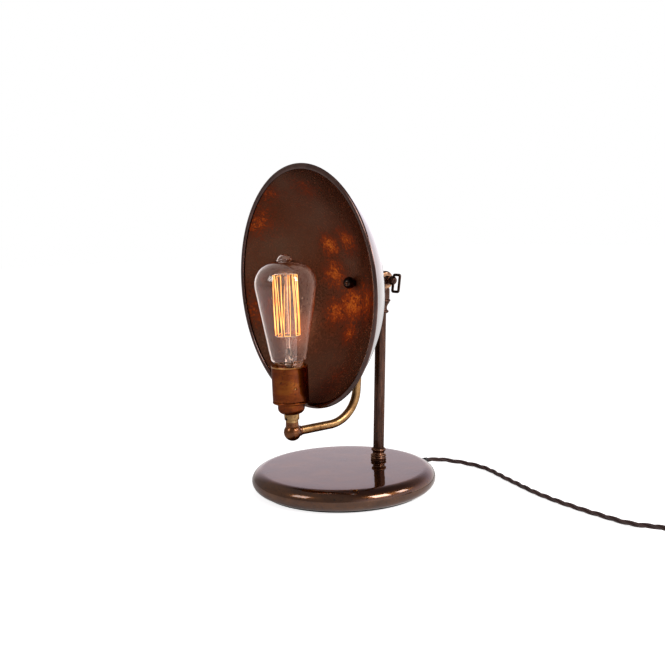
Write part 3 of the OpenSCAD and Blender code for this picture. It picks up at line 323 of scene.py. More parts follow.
def turned_metal(name, colour, worn, rough, pitch=0.4):
    """Machined metal, bright: tool marks, drawn pitch mm wide to show, and tarnish in stains of 8 mm."""
    made, tree = blank(name)
    spot = add(tree, "TexCoord").outputs["Object"]
    lines = add(tree, "TexNoise", {"Vector": spot, "Scale": 1 / (pitch * MM), "Detail": 1.0}).outputs["Fac"]
    stain = add(tree, "TexNoise", {"Vector": spot, "Scale": 130.0, "Detail": 5.0}).outputs["Fac"]
    tone = add(tree, "ValToRGB", {"Fac": stain}, [(0.35, worn), (0.6, colour)])
    dull = add(tree, "MapRange", {"Value": stain, "To Min": rough + 0.12, "To Max": rough - 0.05})
    bump = add(tree, "Bump", {"Height": lines, "Distance": 0.02 * MM, "Strength": 0.4})
    surface(tree, {"Base Color": tone.outputs[0], "Metallic": 1.0, "Roughness": dull.outputs[0],
                   "Normal": bump.outputs[0]})
    return made


def dress(finish, *nodes):
    """CAD nodes whose shape is right keep it and take this finish."""
    for name in nodes:
        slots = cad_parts[name].data.materials
        slots.clear()
        slots.append(finish)


machined_brass = turned_metal("machined_brass", "#d8b56f", "#a98148", 0.26)
zinc_steel = turned_metal("zinc_plated_steel", "#c4c6ca", "#8d9096", 0.3)
dress(machined_brass, "switch_contacts")


# Plug
# A square-pin plug of two phenolic halves held by one screw, on its back with the pins up. The cartridge
# fuse clips to the live pin inside.
pin_side = piece("plug_pin_side", from_frame("plug_base", 0.6, 3), phenolic)
fit(pin_side, "stand", "black_plastic", "plug_base")
cap_side = piece("plug_cap_side", from_frame("plug_cover", 0.6, 3), phenolic)
fit(cap_side, "stand", "black_plastic", "plug_cover")
square_pins = piece("plug_square_pins", from_frame("plug_pins", 0.4), machined_brass)
fit(square_pins, "stand", "bright_brass", "plug_pins")
dress(zinc_steel, "plug_screw")


def glazed(name, colour, speck, rough):
    """Glazed porcelain: off-white with iron specks of 1.4 mm and a gloss that waves every 7 mm."""
    made, tree = blank(name)
    spot = add(tree, "TexCoord").outputs["Object"]
    specks = add(tree, "TexNoise", {"Vector": spot, "Scale": 700.0, "Detail": 2.0}).outputs["Fac"]
    tone = add(tree, "ValToRGB", {"Fac": specks}, [(0.3, speck), (0.36, colour)])
    wave = add(tree, "TexNoise", {"Vector": spot, "Scale": 150.0}).outputs["Fac"]
    bump = add(tree, "Bump", {"Height": wave, "Distance": 0.1 * MM, "Strength": 0.3})
    surface(tree, {"Base Color": tone.outputs[0], "Roughness": rough, "Coat Weight": 0.6,
                   "Normal": bump.outputs[0]})
    return made


porcelain = glazed("glazed_porcelain", "#e9e4d6", "#b9b09a", 0.2)
dress(porcelain, "plug_fuse")


# Foot
# A spun brass shell with a full round edge over a cast iron weight. It is patinated a deep bronze brown and
# lacquered to a high gloss, so its flat top mirrors the stem and the bright wall. Felt is glued below.
base_top = 23.5
felt_t = 1.5
felt_r = 89
flat_r = 87
edge_w = 13
edge_mid = 12.5
edge_h = 11
shell_t = 1.2
lip_r = 84


def arc(x, z, r, a0, a1, n, squash=1.0):
    """Points along an arc in degrees, with its height scaled by squash."""
    turns = [math.radians(a0 + (a1 - a0) * i / n) for i in range(n + 1)]
    return [(x + r * math.cos(a), z + r * squash * math.sin(a)) for a in turns]


def spun(outline, steps=144, closed=False, soften=0.0, crease=25):
    """A shape turned about z from an outline of (radius, height) in mm."""
    bm = bmesh.new()
    verts = [bm.verts.new((r * MM, 0, z * MM)) for r, z in outline]
    for a, b in zip(verts, verts[1:] + verts[:1] if closed else verts[1:]):
        bm.edges.new((a, b))
    bmesh.ops.spin(bm, geom=bm.verts[:] + bm.edges[:], axis=(0, 0, 1), cent=(0, 0, 0), steps=steps,
                   angle=math.tau, use_merge=True)
    bmesh.ops.remove_doubles(bm, verts=bm.verts[:], dist=1e-7)
    bmesh.ops.recalc_face_normals(bm, faces=bm.faces[:])
    return softened(bm, soften, crease=crease) if soften else bm


def aged_brass(name, dark, body, light, spots, blotch, rough, coat=0.0, streak=(1, 1, 1), scratch=0.3,
               edge="#c0b0a4"):
    """Brass darkened by hand and waxed, tarnished in clouds of blotch mm, with spots of 2.4 mm. Its fine
    scratches are drawn 0.4 mm apart, coarse enough to show."""
    made, tree = blank(name)
    spot = add(tree, "TexCoord").outputs["Object"]
    drawn = add(tree, "Mapping", {"Vector": spot, "Scale": streak}).outputs[0]
    cloud = add(tree, "TexNoise", {"Vector": drawn, "Scale": 1 / (blotch * MM), "Detail": 6.0,
                                   "Roughness": 0.6, "Distortion": 0.4}).outputs["Fac"]
    tone = add(tree, "ValToRGB", {"Fac": cloud}, [(0.3, dark), (0.5, body), (0.72, light)]).outputs[0]
    speck = add(tree, "TexNoise", {"Vector": spot, "Scale": 420.0, "Detail": 4.0}).outputs["Fac"]
    mask = add(tree, "MapRange", {"Value": speck, "From Min": 0.58, "From Max": 0.72}).outputs[0]
    worn = add(tree, "Mix", {0: mask, 6: tone, 7: spots}, data_type="RGBA").outputs[2]
    hair = add(tree, "Mapping", {"Vector": drawn, "Scale": (1, 1, 0.12), "Rotation": (0.4, 0.2, 0)})
    fine = add(tree, "TexNoise", {"Vector": hair.outputs[0], "Scale": 2600.0, "Detail": 2.0}).outputs["Fac"]
    dull = add(tree, "MapRange", {"Value": cloud, "From Min": 0.25, "From Max": 0.75, "To Min": rough + 0.1,
                                  "To Max": rough - 0.06}).outputs[0]
    both = add(tree, "Math", {0: fine, 1: cloud}, operation="ADD").outputs[0]
    bump = add(tree, "Bump", {"Height": both, "Distance": 0.02 * MM, "Strength": scratch}).outputs[0]
    surface(tree, {"Base Color": worn, "Metallic": 1.0, "Roughness": dull, "Specular Tint": edge,
                   "Coat Weight": coat, "Coat Roughness": 0.04, "Normal": bump})
    return made


# Pressed wool felt, matt black, drawn as a very fine cloth.
felt = woven("wool_felt", "#0c0c0e", "#26262a", 0.5, 0.95, 0.3)
pad_outline = [(0, 0), (felt_r, 0), (felt_r, felt_t), (0, felt_t)]
pad = piece("felt_under_foot", spun(pad_outline, 160, soften=0.4), felt)
fit(pad, "stand", "felt", "felt_pad")
lacquered = aged_brass("lacquered_bronze", "#442712", "#57341a", "#6a4322", "#2f1b0c", 26, 0.2, 1.0,
                       scratch=0.1)
shell_outline = (
    [(0, base_top)] + [(flat_r * i / 8, base_top) for i in range(2, 8)]
    + arc(flat_r, edge_mid, edge_w, 90, -90, 40, edge_h / edge_w)
    + [(lip_r, felt_t), (lip_r, felt_t + shell_t)]
    + arc(flat_r, edge_mid, edge_w - shell_t, -90, 90, 24, (edge_h - shell_t) / (edge_w - shell_t))
    + [(0, base_top - shell_t)]
)
foot = piece("spun_foot_shell", spun(shell_outline, 240), lacquered)
fit(foot, "stand", "lacquered_brass", "base_shell")


def rough_cast(name, dark, light):
    """Sand-cast iron in thin black paint, pitted every 0.6 mm or so."""
    made, tree = blank(name)
    spot = add(tree, "TexCoord").outputs["Object"]
    pits = add(tree, "TexNoise", {"Vector": spot, "Scale": 1600.0, "Detail": 6.0}).outputs["Fac"]
    tone = add(tree, "ValToRGB", {"Fac": pits}, [(0.4, dark), (0.7, light)])
    bump = add(tree, "Bump", {"Height": pits, "Distance": 0.2 * MM, "Strength": 0.8})
    surface(tree, {"Base Color": tone.outputs[0], "Metallic": 0.6, "Roughness": 0.7,
                   "Normal": bump.outputs[0]})
    return made


dress(rough_cast("sand_cast_iron", "#1c1c1e", "#3a3a3d"), "base_weight")
dress(machined_brass, "foot_nipple", "foot_nut", "earth_screw")
dress(zinc_steel, "foot_washer", "cord_grip", "grip_screws")


# Cord bush
# Soft black rubber, matt and faintly bloomed, with a flange outside the shell and a ribbed, tapering tail
# that spreads the cord's bend.
exit_z = 9
base_r = 100
cord_hole_r = 2.65
at_exit = Matrix.Translation(Vector((0, base_r, exit_z)) * MM) @ Matrix.Rotation(math.radians(-90), 4, "X")
# The rubber's grey bloom comes in specks of 2 mm.
rubber, tree = blank("soft_black_rubber")
spot = add(tree, "TexCoord").outputs["Object"]
bloom = add(tree, "TexNoise", {"Vector": spot, "Scale": 500.0, "Detail": 4.0}).outputs["Fac"]
grey = add(tree, "ValToRGB", {"Fac": bloom}, [(0.35, "#0d0c0c"), (0.8, "#242120")])
skin = add(tree, "Bump", {"Height": bloom, "Distance": 0.05 * MM, "Strength": 0.6})
surface(tree, {"Base Color": grey.outputs[0], "Roughness": 0.65, "Normal": skin.outputs[0]})
ribs = 5
rib_low = 4.2
rib_pitch = 3
rib_r = 4.2
rib_groove = 0.45
tail = []
for i in range(ribs):
    z = rib_low + i * rib_pitch
    r = rib_r - i * 0.2
    tail += [(r, z), (r, z + 1.5), (r - rib_groove, z + 1.8), (r - rib_groove, z + 2.6)]
bush_outline = (
    [(cord_hole_r, -9), (4.4, -9), (4.4, -0.6), (6, -0.6), (6, 1.6), (5.4, 2.4), (4.4, 2.6)] + tail
    + [(3.3, 19.6), (3, 20), (cord_hole_r, 20)]
)
bush = piece("cord_bush_ribbed", spun(bush_outline, 48, True, 0.15), rubber, at_exit)
fit(bush, "stand", "bush_black", "cord_bush")
dress(braided_cotton("braided_cotton_inside", 100), "base_lead")


# Stem
# A drawn brass tube in a dark bronze patina, screwed to the foot by a hollow threaded nipple. Turned
# collars hide both joints, the lower one in a lighter brass.
stem_r = 6
stem_y = 48.4
rake = 2.7
pivot_h = 224
pivot_len = (pivot_h - base_top) / math.cos(math.radians(rake))
neck_len = 24.5
top_collar_h = 12.5
foot_collar_h = 12.8
on_stem = (Matrix.Translation(Vector((0, stem_y, base_top)) * MM)
           @ Matrix.Rotation(math.radians(-rake), 4, "X"))
on_fork = on_stem @ Matrix.Translation((0, 0, pivot_len * MM))
dark_bronze = aged_brass("dark_bronze_patina", "#301b13", "#43291d", "#5a3a2b", "#22130d", 7, 0.24, 0.3,
                         (3, 3, 0.35), 0.25)
collar_r = 8.8
collar_outline = (
    [(stem_r + 0.05, -1), (collar_r - 0.4, -1), (collar_r - 0.4, 0.2)]
    + arc(collar_r - 1.2, 1.4, 1.2, -60, 60, 8) + arc(collar_r - 1.5, 4.1, 1.4, -60, 80, 10)
    + [(stem_r + 0.9, 5.9), (stem_r + 0.55, 6.6), (stem_r + 0.5, 7.4), (stem_r + 0.65, 8.1),
       (stem_r + 0.9, 8.6)]
    + arc(collar_r - 2.2, foot_collar_h - 2, 1.6, -70, 80, 10)
    + [(stem_r + 0.5, foot_collar_h), (stem_r + 0.05, foot_collar_h)]
)
collar = spun(collar_outline, 96, True)
bmesh.ops.transform(collar, matrix=on_stem, verts=collar.verts[:])
cut = bmesh.ops.bisect_plane(collar, geom=collar.verts[:] + collar.edges[:] + collar.faces[:], dist=1e-6,
                             plane_co=(0, 0, base_top * MM), plane_no=(0, 0, 1), clear_inner=True)
bmesh.ops.bridge_loops(collar, edges=[e for e in cut["geom_cut"] if isinstance(e, bmesh.types.BMEdge)])
bmesh.ops.recalc_face_normals(collar, faces=collar.faces[:])
collar_brass = aged_brass("lighter_collar_brass", "#432a1e", "#664532", "#8c674c", "#2a180f", 6, 0.24, 0.3,
                          scratch=0.2)
fit(piece("turned_foot_collar", collar, collar_brass), "stand", "stem_brass", "foot_collar")
stem_low = 0.4
stem_top = pivot_len - neck_len
bore_r = stem_r - 1
stem = spun([(bore_r, stem_low), (stem_r, stem_low), (stem_r, stem_top), (bore_r, stem_top)], 96, True)
fit(piece("drawn_stem_tube", stem, dark_bronze, on_stem), "stand", "stem_brass", "stem_tube")
low = -neck_len - top_collar_h
neck_r = 9.4
top_outline = (
    [(stem_r + 0.05, low), (stem_r + 0.7, low)] + arc(stem_r + 1, low + 2.2, 1.7, -80, 80, 10)
    + [(stem_r + 1, low + 4.6), (stem_r + 0.85, low + 5.6), (stem_r + 0.75, low + 6.6),
       (stem_r + 0.9, low + 7.6), (stem_r + 1.3, low + 8.8), (stem_r + 1.9, low + 9.9),
       (stem_r + 2.6, low + 11), (neck_r - 0.2, low + 11.6), (neck_r, low + 12), (neck_r, low + 12.3),
       (neck_r - 0.2, low + top_collar_h), (stem_r + 0.05, low + top_collar_h)]
)
fit(piece("turned_top_collar", spun(top_outline, 96, True), dark_bronze, on_fork), "stand", "stem_brass",
    "top_collar")


def sleeved(name, colour, shade):
    """Silicone sleeving over stranded cores: pale tan, slightly faded in patches of 4.5 mm."""
    made, tree = blank(name)
    spot = add(tree, "TexCoord").outputs["Object"]
    fade = add(tree, "TexNoise", {"Vector": spot, "Scale": 220.0, "Detail": 3.0}).outputs["Fac"]
    tone = add(tree, "ValToRGB", {"Fac": fade}, [(0.3, shade), (0.7, colour)])
    surface(tree, {"Base Color": tone.outputs[0], "Roughness": 0.5})
    return made


sleeving = sleeved("sleeved_cores", "#c9a37a", "#8f6c49")
dress(sleeving, "stem_wires", "head_wires")


# Knuckle
# A fork with two round ears, rubbed bright, grips the head's tongue between red fibre washers. The clamp
# screw ends in a ball, and a bent ring of blackened wire through the ball turns it by hand.
pivot_y = 57.855
hinge = Vector((0, pivot_y, pivot_h)) * MM
on_hinge = Matrix.Translation(hinge) @ Matrix.Rotation(math.radians(90), 4, "Y")
ear_face = 10
screw_r = 3
key_reach = 19.2
ball_r = 5
ring_x = 21.2
ring_w = 10.2
ring_h = 18.2
ring_wire_r = 1.5
ring_shift = 2.9
ring_turn = 9
ring_corner = 1.6
ear_low = pivot_h - 9
knuckle_brass = aged_brass("knuckle_brass", "#5a3b28", "#a57c5a", "#d2a97c", "#402818", 8, 0.24, 0.5,
                           scratch=0.2)
fork = piece("forked_knuckle", from_frame("knuckle_fork", 0.3), knuckle_brass)
fork.data.materials.append(dark_bronze)
for face in fork.data.polygons:
    if face.center.z < ear_low * MM:
        face.material_index = 1
fit(fork, "stand", "stem_brass", "knuckle_fork")
# Vulcanised fibre, pressed from pulp in grains of 0.7 mm: a matt, slightly uneven red-brown.
fibre, tree = blank("vulcanised_fibre")
spot = add(tree, "TexCoord").outputs["Object"]
pulp = add(tree, "TexNoise", {"Vector": spot, "Scale": 1400.0, "Detail": 3.0}).outputs["Fac"]
red = add(tree, "ValToRGB", {"Fac": pulp}, [(0.35, "#4f1a12"), (0.7, "#76301f")])
surface(tree, {"Base Color": red.outputs[0], "Roughness": 0.6})
dress(fibre, "fibre_washers")
screw_outline = (
    [(0, -ear_face), (screw_r - 0.4, -ear_face), (screw_r, 0.4 - ear_face), (screw_r, ear_face),
     (screw_r + 1.9, ear_face), (screw_r + 2, ear_face + 0.3), (screw_r + 2, ear_face + 1.1),
     (screw_r + 1.7, ear_face + 1.5), (screw_r + 1, ear_face + 2), (screw_r + 0.6, ear_face + 2.8),
     (screw_r + 0.4, ear_face + 3.8)]
    + arc(0, key_reach, ball_r, -46, 90, 24)
)
clamp_screw = piece("clamp_screw_ball", spun(screw_outline, 64), dark_bronze, on_hinge)
fit(clamp_screw, "key", "stem_brass", "clamp_screw")
flat_w = ring_w - 2 * ring_corner
flat_h = ring_h - 2 * ring_corner
corners = []
for x, z, a in ((1, 0.5, 0), (0, 0.5, 90), (0, -0.5, 180), (1, -0.5, 270)):
    corners += arc(ring_corner + x * flat_w, z * flat_h, ring_corner, a, a + 90, 5)
in_ring = (Matrix.Translation(Vector((ring_x, 0, 0)) * MM + hinge)
           @ Matrix.Rotation(math.radians(-ring_turn), 4, "X"))
loop = [in_ring @ (Vector((x, 0, z - ring_shift)) * MM) / MM for x, z in corners]
ring = tubes("wire_ring", [loop], ring_wire_r, 4, True)
blackened_ring = aged_brass("blackened_ring", "#1b110b", "#2e1d13", "#4a3222", "#140b07", 4, 0.28, 0.2)
ring.data.materials.append(blackened_ring)
fit(ring, "key", "stem_brass", "key_ring")


# Head
# The tongue's shank carries a turned hub in waxed antique brass, a light golden brown. A stud through the
# hub holds the dish between a cupped washer behind and a ball nut in its middle.
head_tilt = 0.9
dish_reach = 36.5
in_head = Matrix.Translation(hinge) @ Matrix.Rotation(math.radians(head_tilt), 4, "X")
on_axis = in_head @ Matrix.Rotation(math.radians(90), 4, "X")
hub_front = 34.5
hub_back = 19.5
hub_r = 9
antique = aged_brass("antique_brass", "#73502e", "#98744a", "#b48f5f", "#5b3d22", 14, 0.3, 0.15,
                     scratch=0.03)
tongue = piece("tongue_and_shank", from_frame("knuckle_tongue", 0.25), knuckle_brass)
fit(tongue, "head", "stem_brass", "knuckle_tongue")
hub_bore_r = 4.1
hub_edge = 1.5
hub_outline = [(hub_bore_r, hub_back), (hub_r - hub_edge, hub_back), (hub_r, hub_back + hub_edge),
               (hub_r, hub_front - hub_edge), (hub_r - hub_edge, hub_front), (hub_bore_r, hub_front)]
hub = piece("turned_hub", spun(hub_outline, 96, True, 0.3), antique, on_axis)
fit(hub, "head", "aged_brass", "arm_hub")
dress(machined_brass, "shade_stud")
cupped_disc = piece("cupped_washer_disc", from_frame("cupped_washer", 0.2), antique)
fit(cupped_disc, "head", "aged_brass", "cupped_washer")


# Dish
# A spun brass bowl, its edge rolled over a wire. Heat and rust-red pickling left the inside mottled, from a
# smooth grey-brown to flecks of orange, and the outside is dark and lacquered.
dish_r = 127
wall_r = 125.5
dish_depth = 68
dish_wall = 1.2
rim_w = 6
rim_t = 3
stud_hole_r = 3.1
bowl_r = (wall_r ** 2 + dish_depth ** 2) / (2 * dish_depth)
bowl_angle = math.degrees(math.asin(wall_r / bowl_r))
hole_angle = math.degrees(math.asin(stud_hole_r / bowl_r))
dish_outline = (
    arc(0, bowl_r, bowl_r, hole_angle - 90, bowl_angle - 90 - 1.2, 60)
    + arc(dish_r - rim_w / 2, dish_depth, rim_w / 2, -52, 232, 32, rim_t / rim_w)
    + arc(0, bowl_r, bowl_r - dish_wall, bowl_angle - 90 - 1.4, hole_angle - 90, 60)
)
# The patina is a thin skin of oxide, so it is only half metallic, and rougher where rust lies thick. Its
# ground has clouds of 60 mm, and the rust on it breaks into flecks of 5 mm and finer.
mottled, tree = blank("mottled_patina")
spot = add(tree, "TexCoord").outputs["Object"]
clouds = add(tree, "TexNoise", {"Vector": spot, "Scale": 16.0, "Detail": 5.0, "Roughness": 0.55})
cloud = clouds.outputs["Fac"]
ground = add(tree, "ValToRGB", {"Fac": cloud}, [(0.3, "#562a12"), (0.5, "#5e3522"), (0.7, "#614231")])
flecks = add(tree, "TexNoise", {"Vector": spot, "Scale": 210.0, "Detail": 8.0, "Roughness": 0.72,
                                "Distortion": 1.6}).outputs["Fac"]
# Rust gathers in patches, each with its place beside and above the bowl's middle, its reach in mm and its
# strength.
patches = [(-30, 40, 26, 0.9), (0, 46, 30, 0.8), (-30, 8, 34, 0.85), (0, -24, 42, 1.0), (-26, -34, 34, 0.8),
           (26, -20, 42, 0.75), (2, -54, 26, 0.8), (-98, 72, 40, 0.7), (-70, 100, 30, 0.55),
           (-112, -30, 46, 0.6), (-22, 104, 34, 0.5), (14, -104, 40, 0.4)]
rusty = None
for x, z, reach, strength in patches:
    sunk = bowl_r - math.sqrt(bowl_r ** 2 - x * x - z * z)
    middle = in_head @ (Vector((x, -dish_reach - sunk, z)) * MM)
    offset = add(tree, "VectorMath", {0: spot, 1: middle}, operation="DISTANCE").outputs["Value"]
    near = add(tree, "MapRange", {"Value": offset, "From Max": reach * MM, "To Min": strength, "To Max": 0.0},
               interpolation_type="SMOOTHSTEP").outputs[0]
    if rusty is not None:
        near = add(tree, "Math", {0: rusty, 1: near}, operation="MAXIMUM").outputs[0]
    rusty = near
lift = add(tree, "Math", {0: rusty, 1: 0.34, 2: flecks}, operation="MULTIPLY_ADD").outputs[0]
covered = add(tree, "MapRange", {"Value": lift, "From Min": 0.56, "From Max": 0.76}).outputs[0]
orange = add(tree, "MapRange", {"Value": lift, "From Min": 0.68, "From Max": 0.88}).outputs[0]
rust_tone = add(tree, "ValToRGB", {"Fac": orange}, [(0.0, "#70290f"), (0.5, "#a64415"), (1.0, "#d67328")])
rusted = add(tree, "Mix", {0: covered, 6: ground.outputs[0], 7: rust_tone.outputs[0]}, data_type="RGBA")
dull = add(tree, "MapRange", {"Value": lift, "From Min": 0.4, "From Max": 0.85, "To Min": 0.17,
                              "To Max": 0.5})
both = add(tree, "Math", {0: flecks, 1: cloud}, operation="ADD").outputs[0]
bump = add(tree, "Bump", {"Height": both, "Distance": 0.1 * MM, "Strength": 0.25})
surface(tree, {"Base Color": rusted.outputs[2], "Metallic": 0.55, "Roughness": dull.outputs[0],
               "Specular Tint": "#b09484", "Normal": bump.outputs[0]})
outside = aged_brass("lacquered_outside", "#4a332b", "#5d4338", "#705347", "#3a251d", 30, 0.16, 1.0,
                     scratch=0.08, edge="#ffffff")
rolled = aged_brass("rolled_rim", "#3e241c", "#54372f", "#684a41", "#301b15", 18, 0.2, 0.8, scratch=0.1)
dish = spun(dish_outline, 256, True)
for face in dish.faces:
    middle = face.calc_center_median()
    r = math.hypot(middle.x, middle.y) / MM
    if r > dish_r - rim_w - 0.4 and middle.z / MM > dish_depth - 2.6:
        face.material_index = 2
    elif math.hypot(r, bowl_r - middle.z / MM) > bowl_r - dish_wall / 2:
        face.material_index = 1
bowl = piece("spun_dish", dish, mottled, in_head @ Matrix.Rotation(math.radians(90), 4, "X")
             @ Matrix.Translation((0, 0, dish_reach * MM)))
bowl.data.materials.append(outside)
bowl.data.materials.append(rolled)
fit(bowl, "head", "dish_brass", "dish_shade")
nut_r = 6.5
nut_mid = dish_reach + dish_wall + nut_r - 0.3
nut_seat = dish_reach + dish_wall + 0.08
nut_outline = [(0, nut_seat), (4.2, nut_seat), (4.3, nut_seat + 0.7)] + arc(0, nut_mid, nut_r, -48, 90, 24)
blackened = aged_brass("blackened_nut", "#120a07", "#22140d", "#3a2519", "#0c0604", 5, 0.22, 0.3,
                       scratch=0.2)
fit(piece("ball_nut_turned", spun(nut_outline, 72), blackened, on_axis), "head", "stem_brass", "ball_nut")


# Arm
# A bent brass tube in the hub's finish drops from the hub, sweeps forward under the dish and ends in a
# turned ball of a redder brown, whose boss holds the lampholder.
arm_r = 4.7
arm_drop = 150.4
arm_bend = 37
arm_lean = 6.1
bulb_reach = 124.5
hub_mid = 27
lean = math.radians(arm_lean)
bend_z = arm_bend - arm_drop
bend_y = -hub_mid + bend_z * math.tan(lean) - arm_bend / math.cos(lean)
bend = arc(bend_y, bend_z, arm_bend, -arm_lean, -90, 30)
top_y, top_z = -hub_mid - 4.3 * math.sin(lean), -4.3 * math.cos(lean)
upper = [(top_y + (bend[0][0] - top_y) * i / 12, top_z + (bend[0][1] - top_z) * i / 12) for i in range(12)]
level_end = -bulb_reach + 4.2
level = [(bend_y + (level_end - bend_y) * i / 6, -arm_drop) for i in range(1, 7)]
arm_line = [in_head @ (Vector((0, y, z)) * MM) / MM for y, z in upper + bend + level]
arm = tubes("bent_arm_tube", [arm_line], arm_r, 10)
arm.data.materials.append(antique)
fit(arm, "head", "aged_brass", "arm_tube")
at_bulb = in_head @ Matrix.Translation(Vector((0, -bulb_reach, -arm_drop)) * MM)
elbow_r = 9.2
neck_low = 11.1
nipple_r = 5.05
holder_brass = aged_brass("holder_brass", "#5a280b", "#77350d", "#935016", "#451d09", 22, 0.34, 0.2,
                          (1, 1, 2.5), 0.1)
elbow_outline = (arc(0, 0, elbow_r, -90, 42, 40)
                 + [(6.95, 7), (6.8, 8.2), (6.65, 9.6), (6.6, 10.4), (6.6, neck_low), (nipple_r, neck_low),
                    (0, neck_low)])
elbow = spun(elbow_outline, 96)
socket = spun([(0, 4), (5.6, 4), (5.6, 9.4), (5.4, 10), (4.8, 10.2), (0, 10.2)], 64)
towards_arm = Matrix.Rotation(math.radians(-90), 3, "X")
bmesh.ops.rotate(socket, cent=(0, 0, 0), matrix=towards_arm, verts=socket.verts[:])
joined = bpy.data.meshes.new("socket")
socket.to_mesh(joined)
socket.free()
elbow.from_mesh(joined)
elbow_brass = aged_brass("elbow_brass", "#562c10", "#74421a", "#8c5a2c", "#40210c", 9, 0.26, 0.5,
                         scratch=0.1)
fit(piece("ball_elbow_turned", elbow, elbow_brass, at_bulb), "head", "holder_brass", "ball_elbow")


# Lampholder
# Turned brass in four parts: a neck with a grub screw, a bowl-shaped cup with a bead, and a straight barrel
# with a fine line at its mouth and one punched dimple. Porcelain inside carries the screw shell.
holder_r = 19
holder_seat = 34.6
holder_top = 71
neck_top = 19.7
holder_neck = piece("holder_neck_turned", from_frame("holder_neck", 0), antique)
fit(holder_neck, "head", "holder_brass", "holder_neck")
dress(turned_metal("blackened_steel", "#2b2b2c", "#141414", 0.35), "grub_screw")
dress(machined_brass, "holder_nipple", "centre_contact", "terminal_screws", "screw_shell")
dress(porcelain, "holder_insulator")
bowl_out = 14.1
flange_t = 3.2
cup_top = holder_seat - flange_t
bead_r = holder_r - 1.4
lip_out = 18.1
lip_in = 17.1
lip_h = 4
cup_outline = (
    [(nipple_r, neck_top), (8.1, neck_top)] + arc(bowl_out - 7, neck_top + 6.6, 7, -80, 0, 16, 6.4 / 7)
    + [(bowl_out, cup_top - 1), (bowl_out + 0.3, cup_top - 0.4), (bowl_out + 1, cup_top), (bead_r, cup_top)]
    + arc(bead_r, holder_seat - flange_t / 2, flange_t / 2, -90, 70, 14)
    + [(lip_out, holder_seat), (lip_out, holder_seat + lip_h), (lip_in, holder_seat + lip_h),
       (lip_in, cup_top + 1), (bowl_out - 1, cup_top + 1), (bowl_out - 1, neck_top + 7),
       (12, neck_top + 4.6), (9, neck_top + 2), (nipple_r, neck_top + 2)]
)
cup = piece("holder_cup_spun", spun(cup_outline, 128, True), holder_brass, at_bulb)
fit(cup, "head", "holder_brass", "holder_cup")
dimple_turn = math.radians(-17)
dimple_z = holder_top - 22
dimple_r = 2
dimple_depth = 0.8
barrel_in = 18.2
rows = [holder_seat + 0.3] + [dimple_z - 3 + 0.4 * i for i in range(16)]
barrel_outline = (
    [(barrel_in, holder_seat), (holder_r - 0.2, holder_seat)] + [(holder_r, z) for z in rows]
    + [(holder_r, holder_top - 2.2), (holder_r - 0.25, holder_top - 1.9),
       (holder_r - 0.25, holder_top - 1.6)]
    + arc(holder_r - 0.7, holder_top - 0.8, 0.8, -50, 90, 8) + [(barrel_in, holder_top)]
)
barrel = spun(barrel_outline, 300, True)
outwards = Vector((math.cos(dimple_turn), math.sin(dimple_turn), 0))
dimple = (holder_r * outwards + Vector((0, 0, dimple_z))) * MM
for vert in barrel.verts:
    off = (vert.co - dimple).length / (dimple_r * MM)
    if off < 1:
        vert.co -= outwards * dimple_depth * MM * (1 - off * off) ** 2
# The inside wall and the mouth's rounded top take a lighter gold: bare brass inside, and a painted highlight
# along the mouth.
for face in barrel.faces:
    middle = face.calc_center_median() / MM
    if middle.z > holder_top - 1.5 or math.hypot(middle.x, middle.y) < holder_r - 0.5:
        face.material_index = 1
barrel = piece("holder_barrel_spun", barrel, holder_brass, at_bulb)
barrel.data.materials.append(turned_metal("bare_brass_painted_highlight", "#c9935a", "#8f5c30", 0.3))
fit(barrel, "head", "holder_brass", "holder_barrel")


# Bulb
# Clear glass blown in a mould, with a sealed pip on top, on a pressed brass screw cap. A glass mount inside
# holds nickel wires, and one long carbon thread runs up and down round them and glows yellow-orange.
bulb_r = 32
shoulder_r = 24
bulb_tip = 186.4
pip_h = 7.4
pip_r = 9.2
shoulder_z = bulb_tip - shoulder_r - pip_h
glass_t = 0.8
neck_z = 80
glass_neck_r = 19
cap_r = 13
cap_top = 66.9


def pear(t):
    """The glass from its shoulder down to the cap, set in by t."""
    crown = arc(bulb_r - shoulder_r, shoulder_z, shoulder_r - t, 84, -9.6, 44)
    high, low = crown[-1], Vector((glass_neck_r + 1 - t, neck_z + 4))
    waist = [tuple(Vector(high).lerp(low, s)) for s in (0.04, 0.3, 0.6, 0.95)]
    return (crown + waist + [(glass_neck_r + 0.5 - t, neck_z + 2.2)]
            + arc(glass_neck_r - 4.2, neck_z - 1, 4.2 - t, 8, -70, 10)
            + [(12.4 - t, cap_top + 0.4), (12.4 - t, cap_top - 6)])


pip_mid = bulb_tip - 8.2
bulb_outline = (
    arc(0, pip_mid, 8.2, 90, 18, 16)
    + [(8.6, bulb_tip - 6.3), (9.1, bulb_tip - 6.8), (pip_r + 0.3, bulb_tip - 7.1)]
    + pear(0)[1:] + pear(glass_t)[::-1] + [(9.2, bulb_tip - 8), (8.3, bulb_tip - 7.5)]
    + arc(0, pip_mid, 7.4, 14, 90, 14)
)
# Clear soda glass, faintly warm. The mould has drawn ripples along it, 14 mm apart round it.
clear, tree = blank("clear_blown_glass")
spot = add(tree, "TexCoord").outputs["Object"]
drawn = add(tree, "Mapping", {"Vector": spot, "Scale": (1, 1, 0.15)}).outputs[0]
ripple = add(tree, "TexNoise", {"Vector": drawn, "Scale": 70.0, "Detail": 1.0}).outputs["Fac"]
wave = add(tree, "Bump", {"Height": ripple, "Distance": 0.4 * MM, "Strength": 0.12})
glass = add(tree, "BsdfPrincipled", {"Base Color": "#fdebe2", "Roughness": 0.0, "IOR": 1.45,
                                     "Transmission Weight": 1.0, "Normal": wave.outputs[0]})
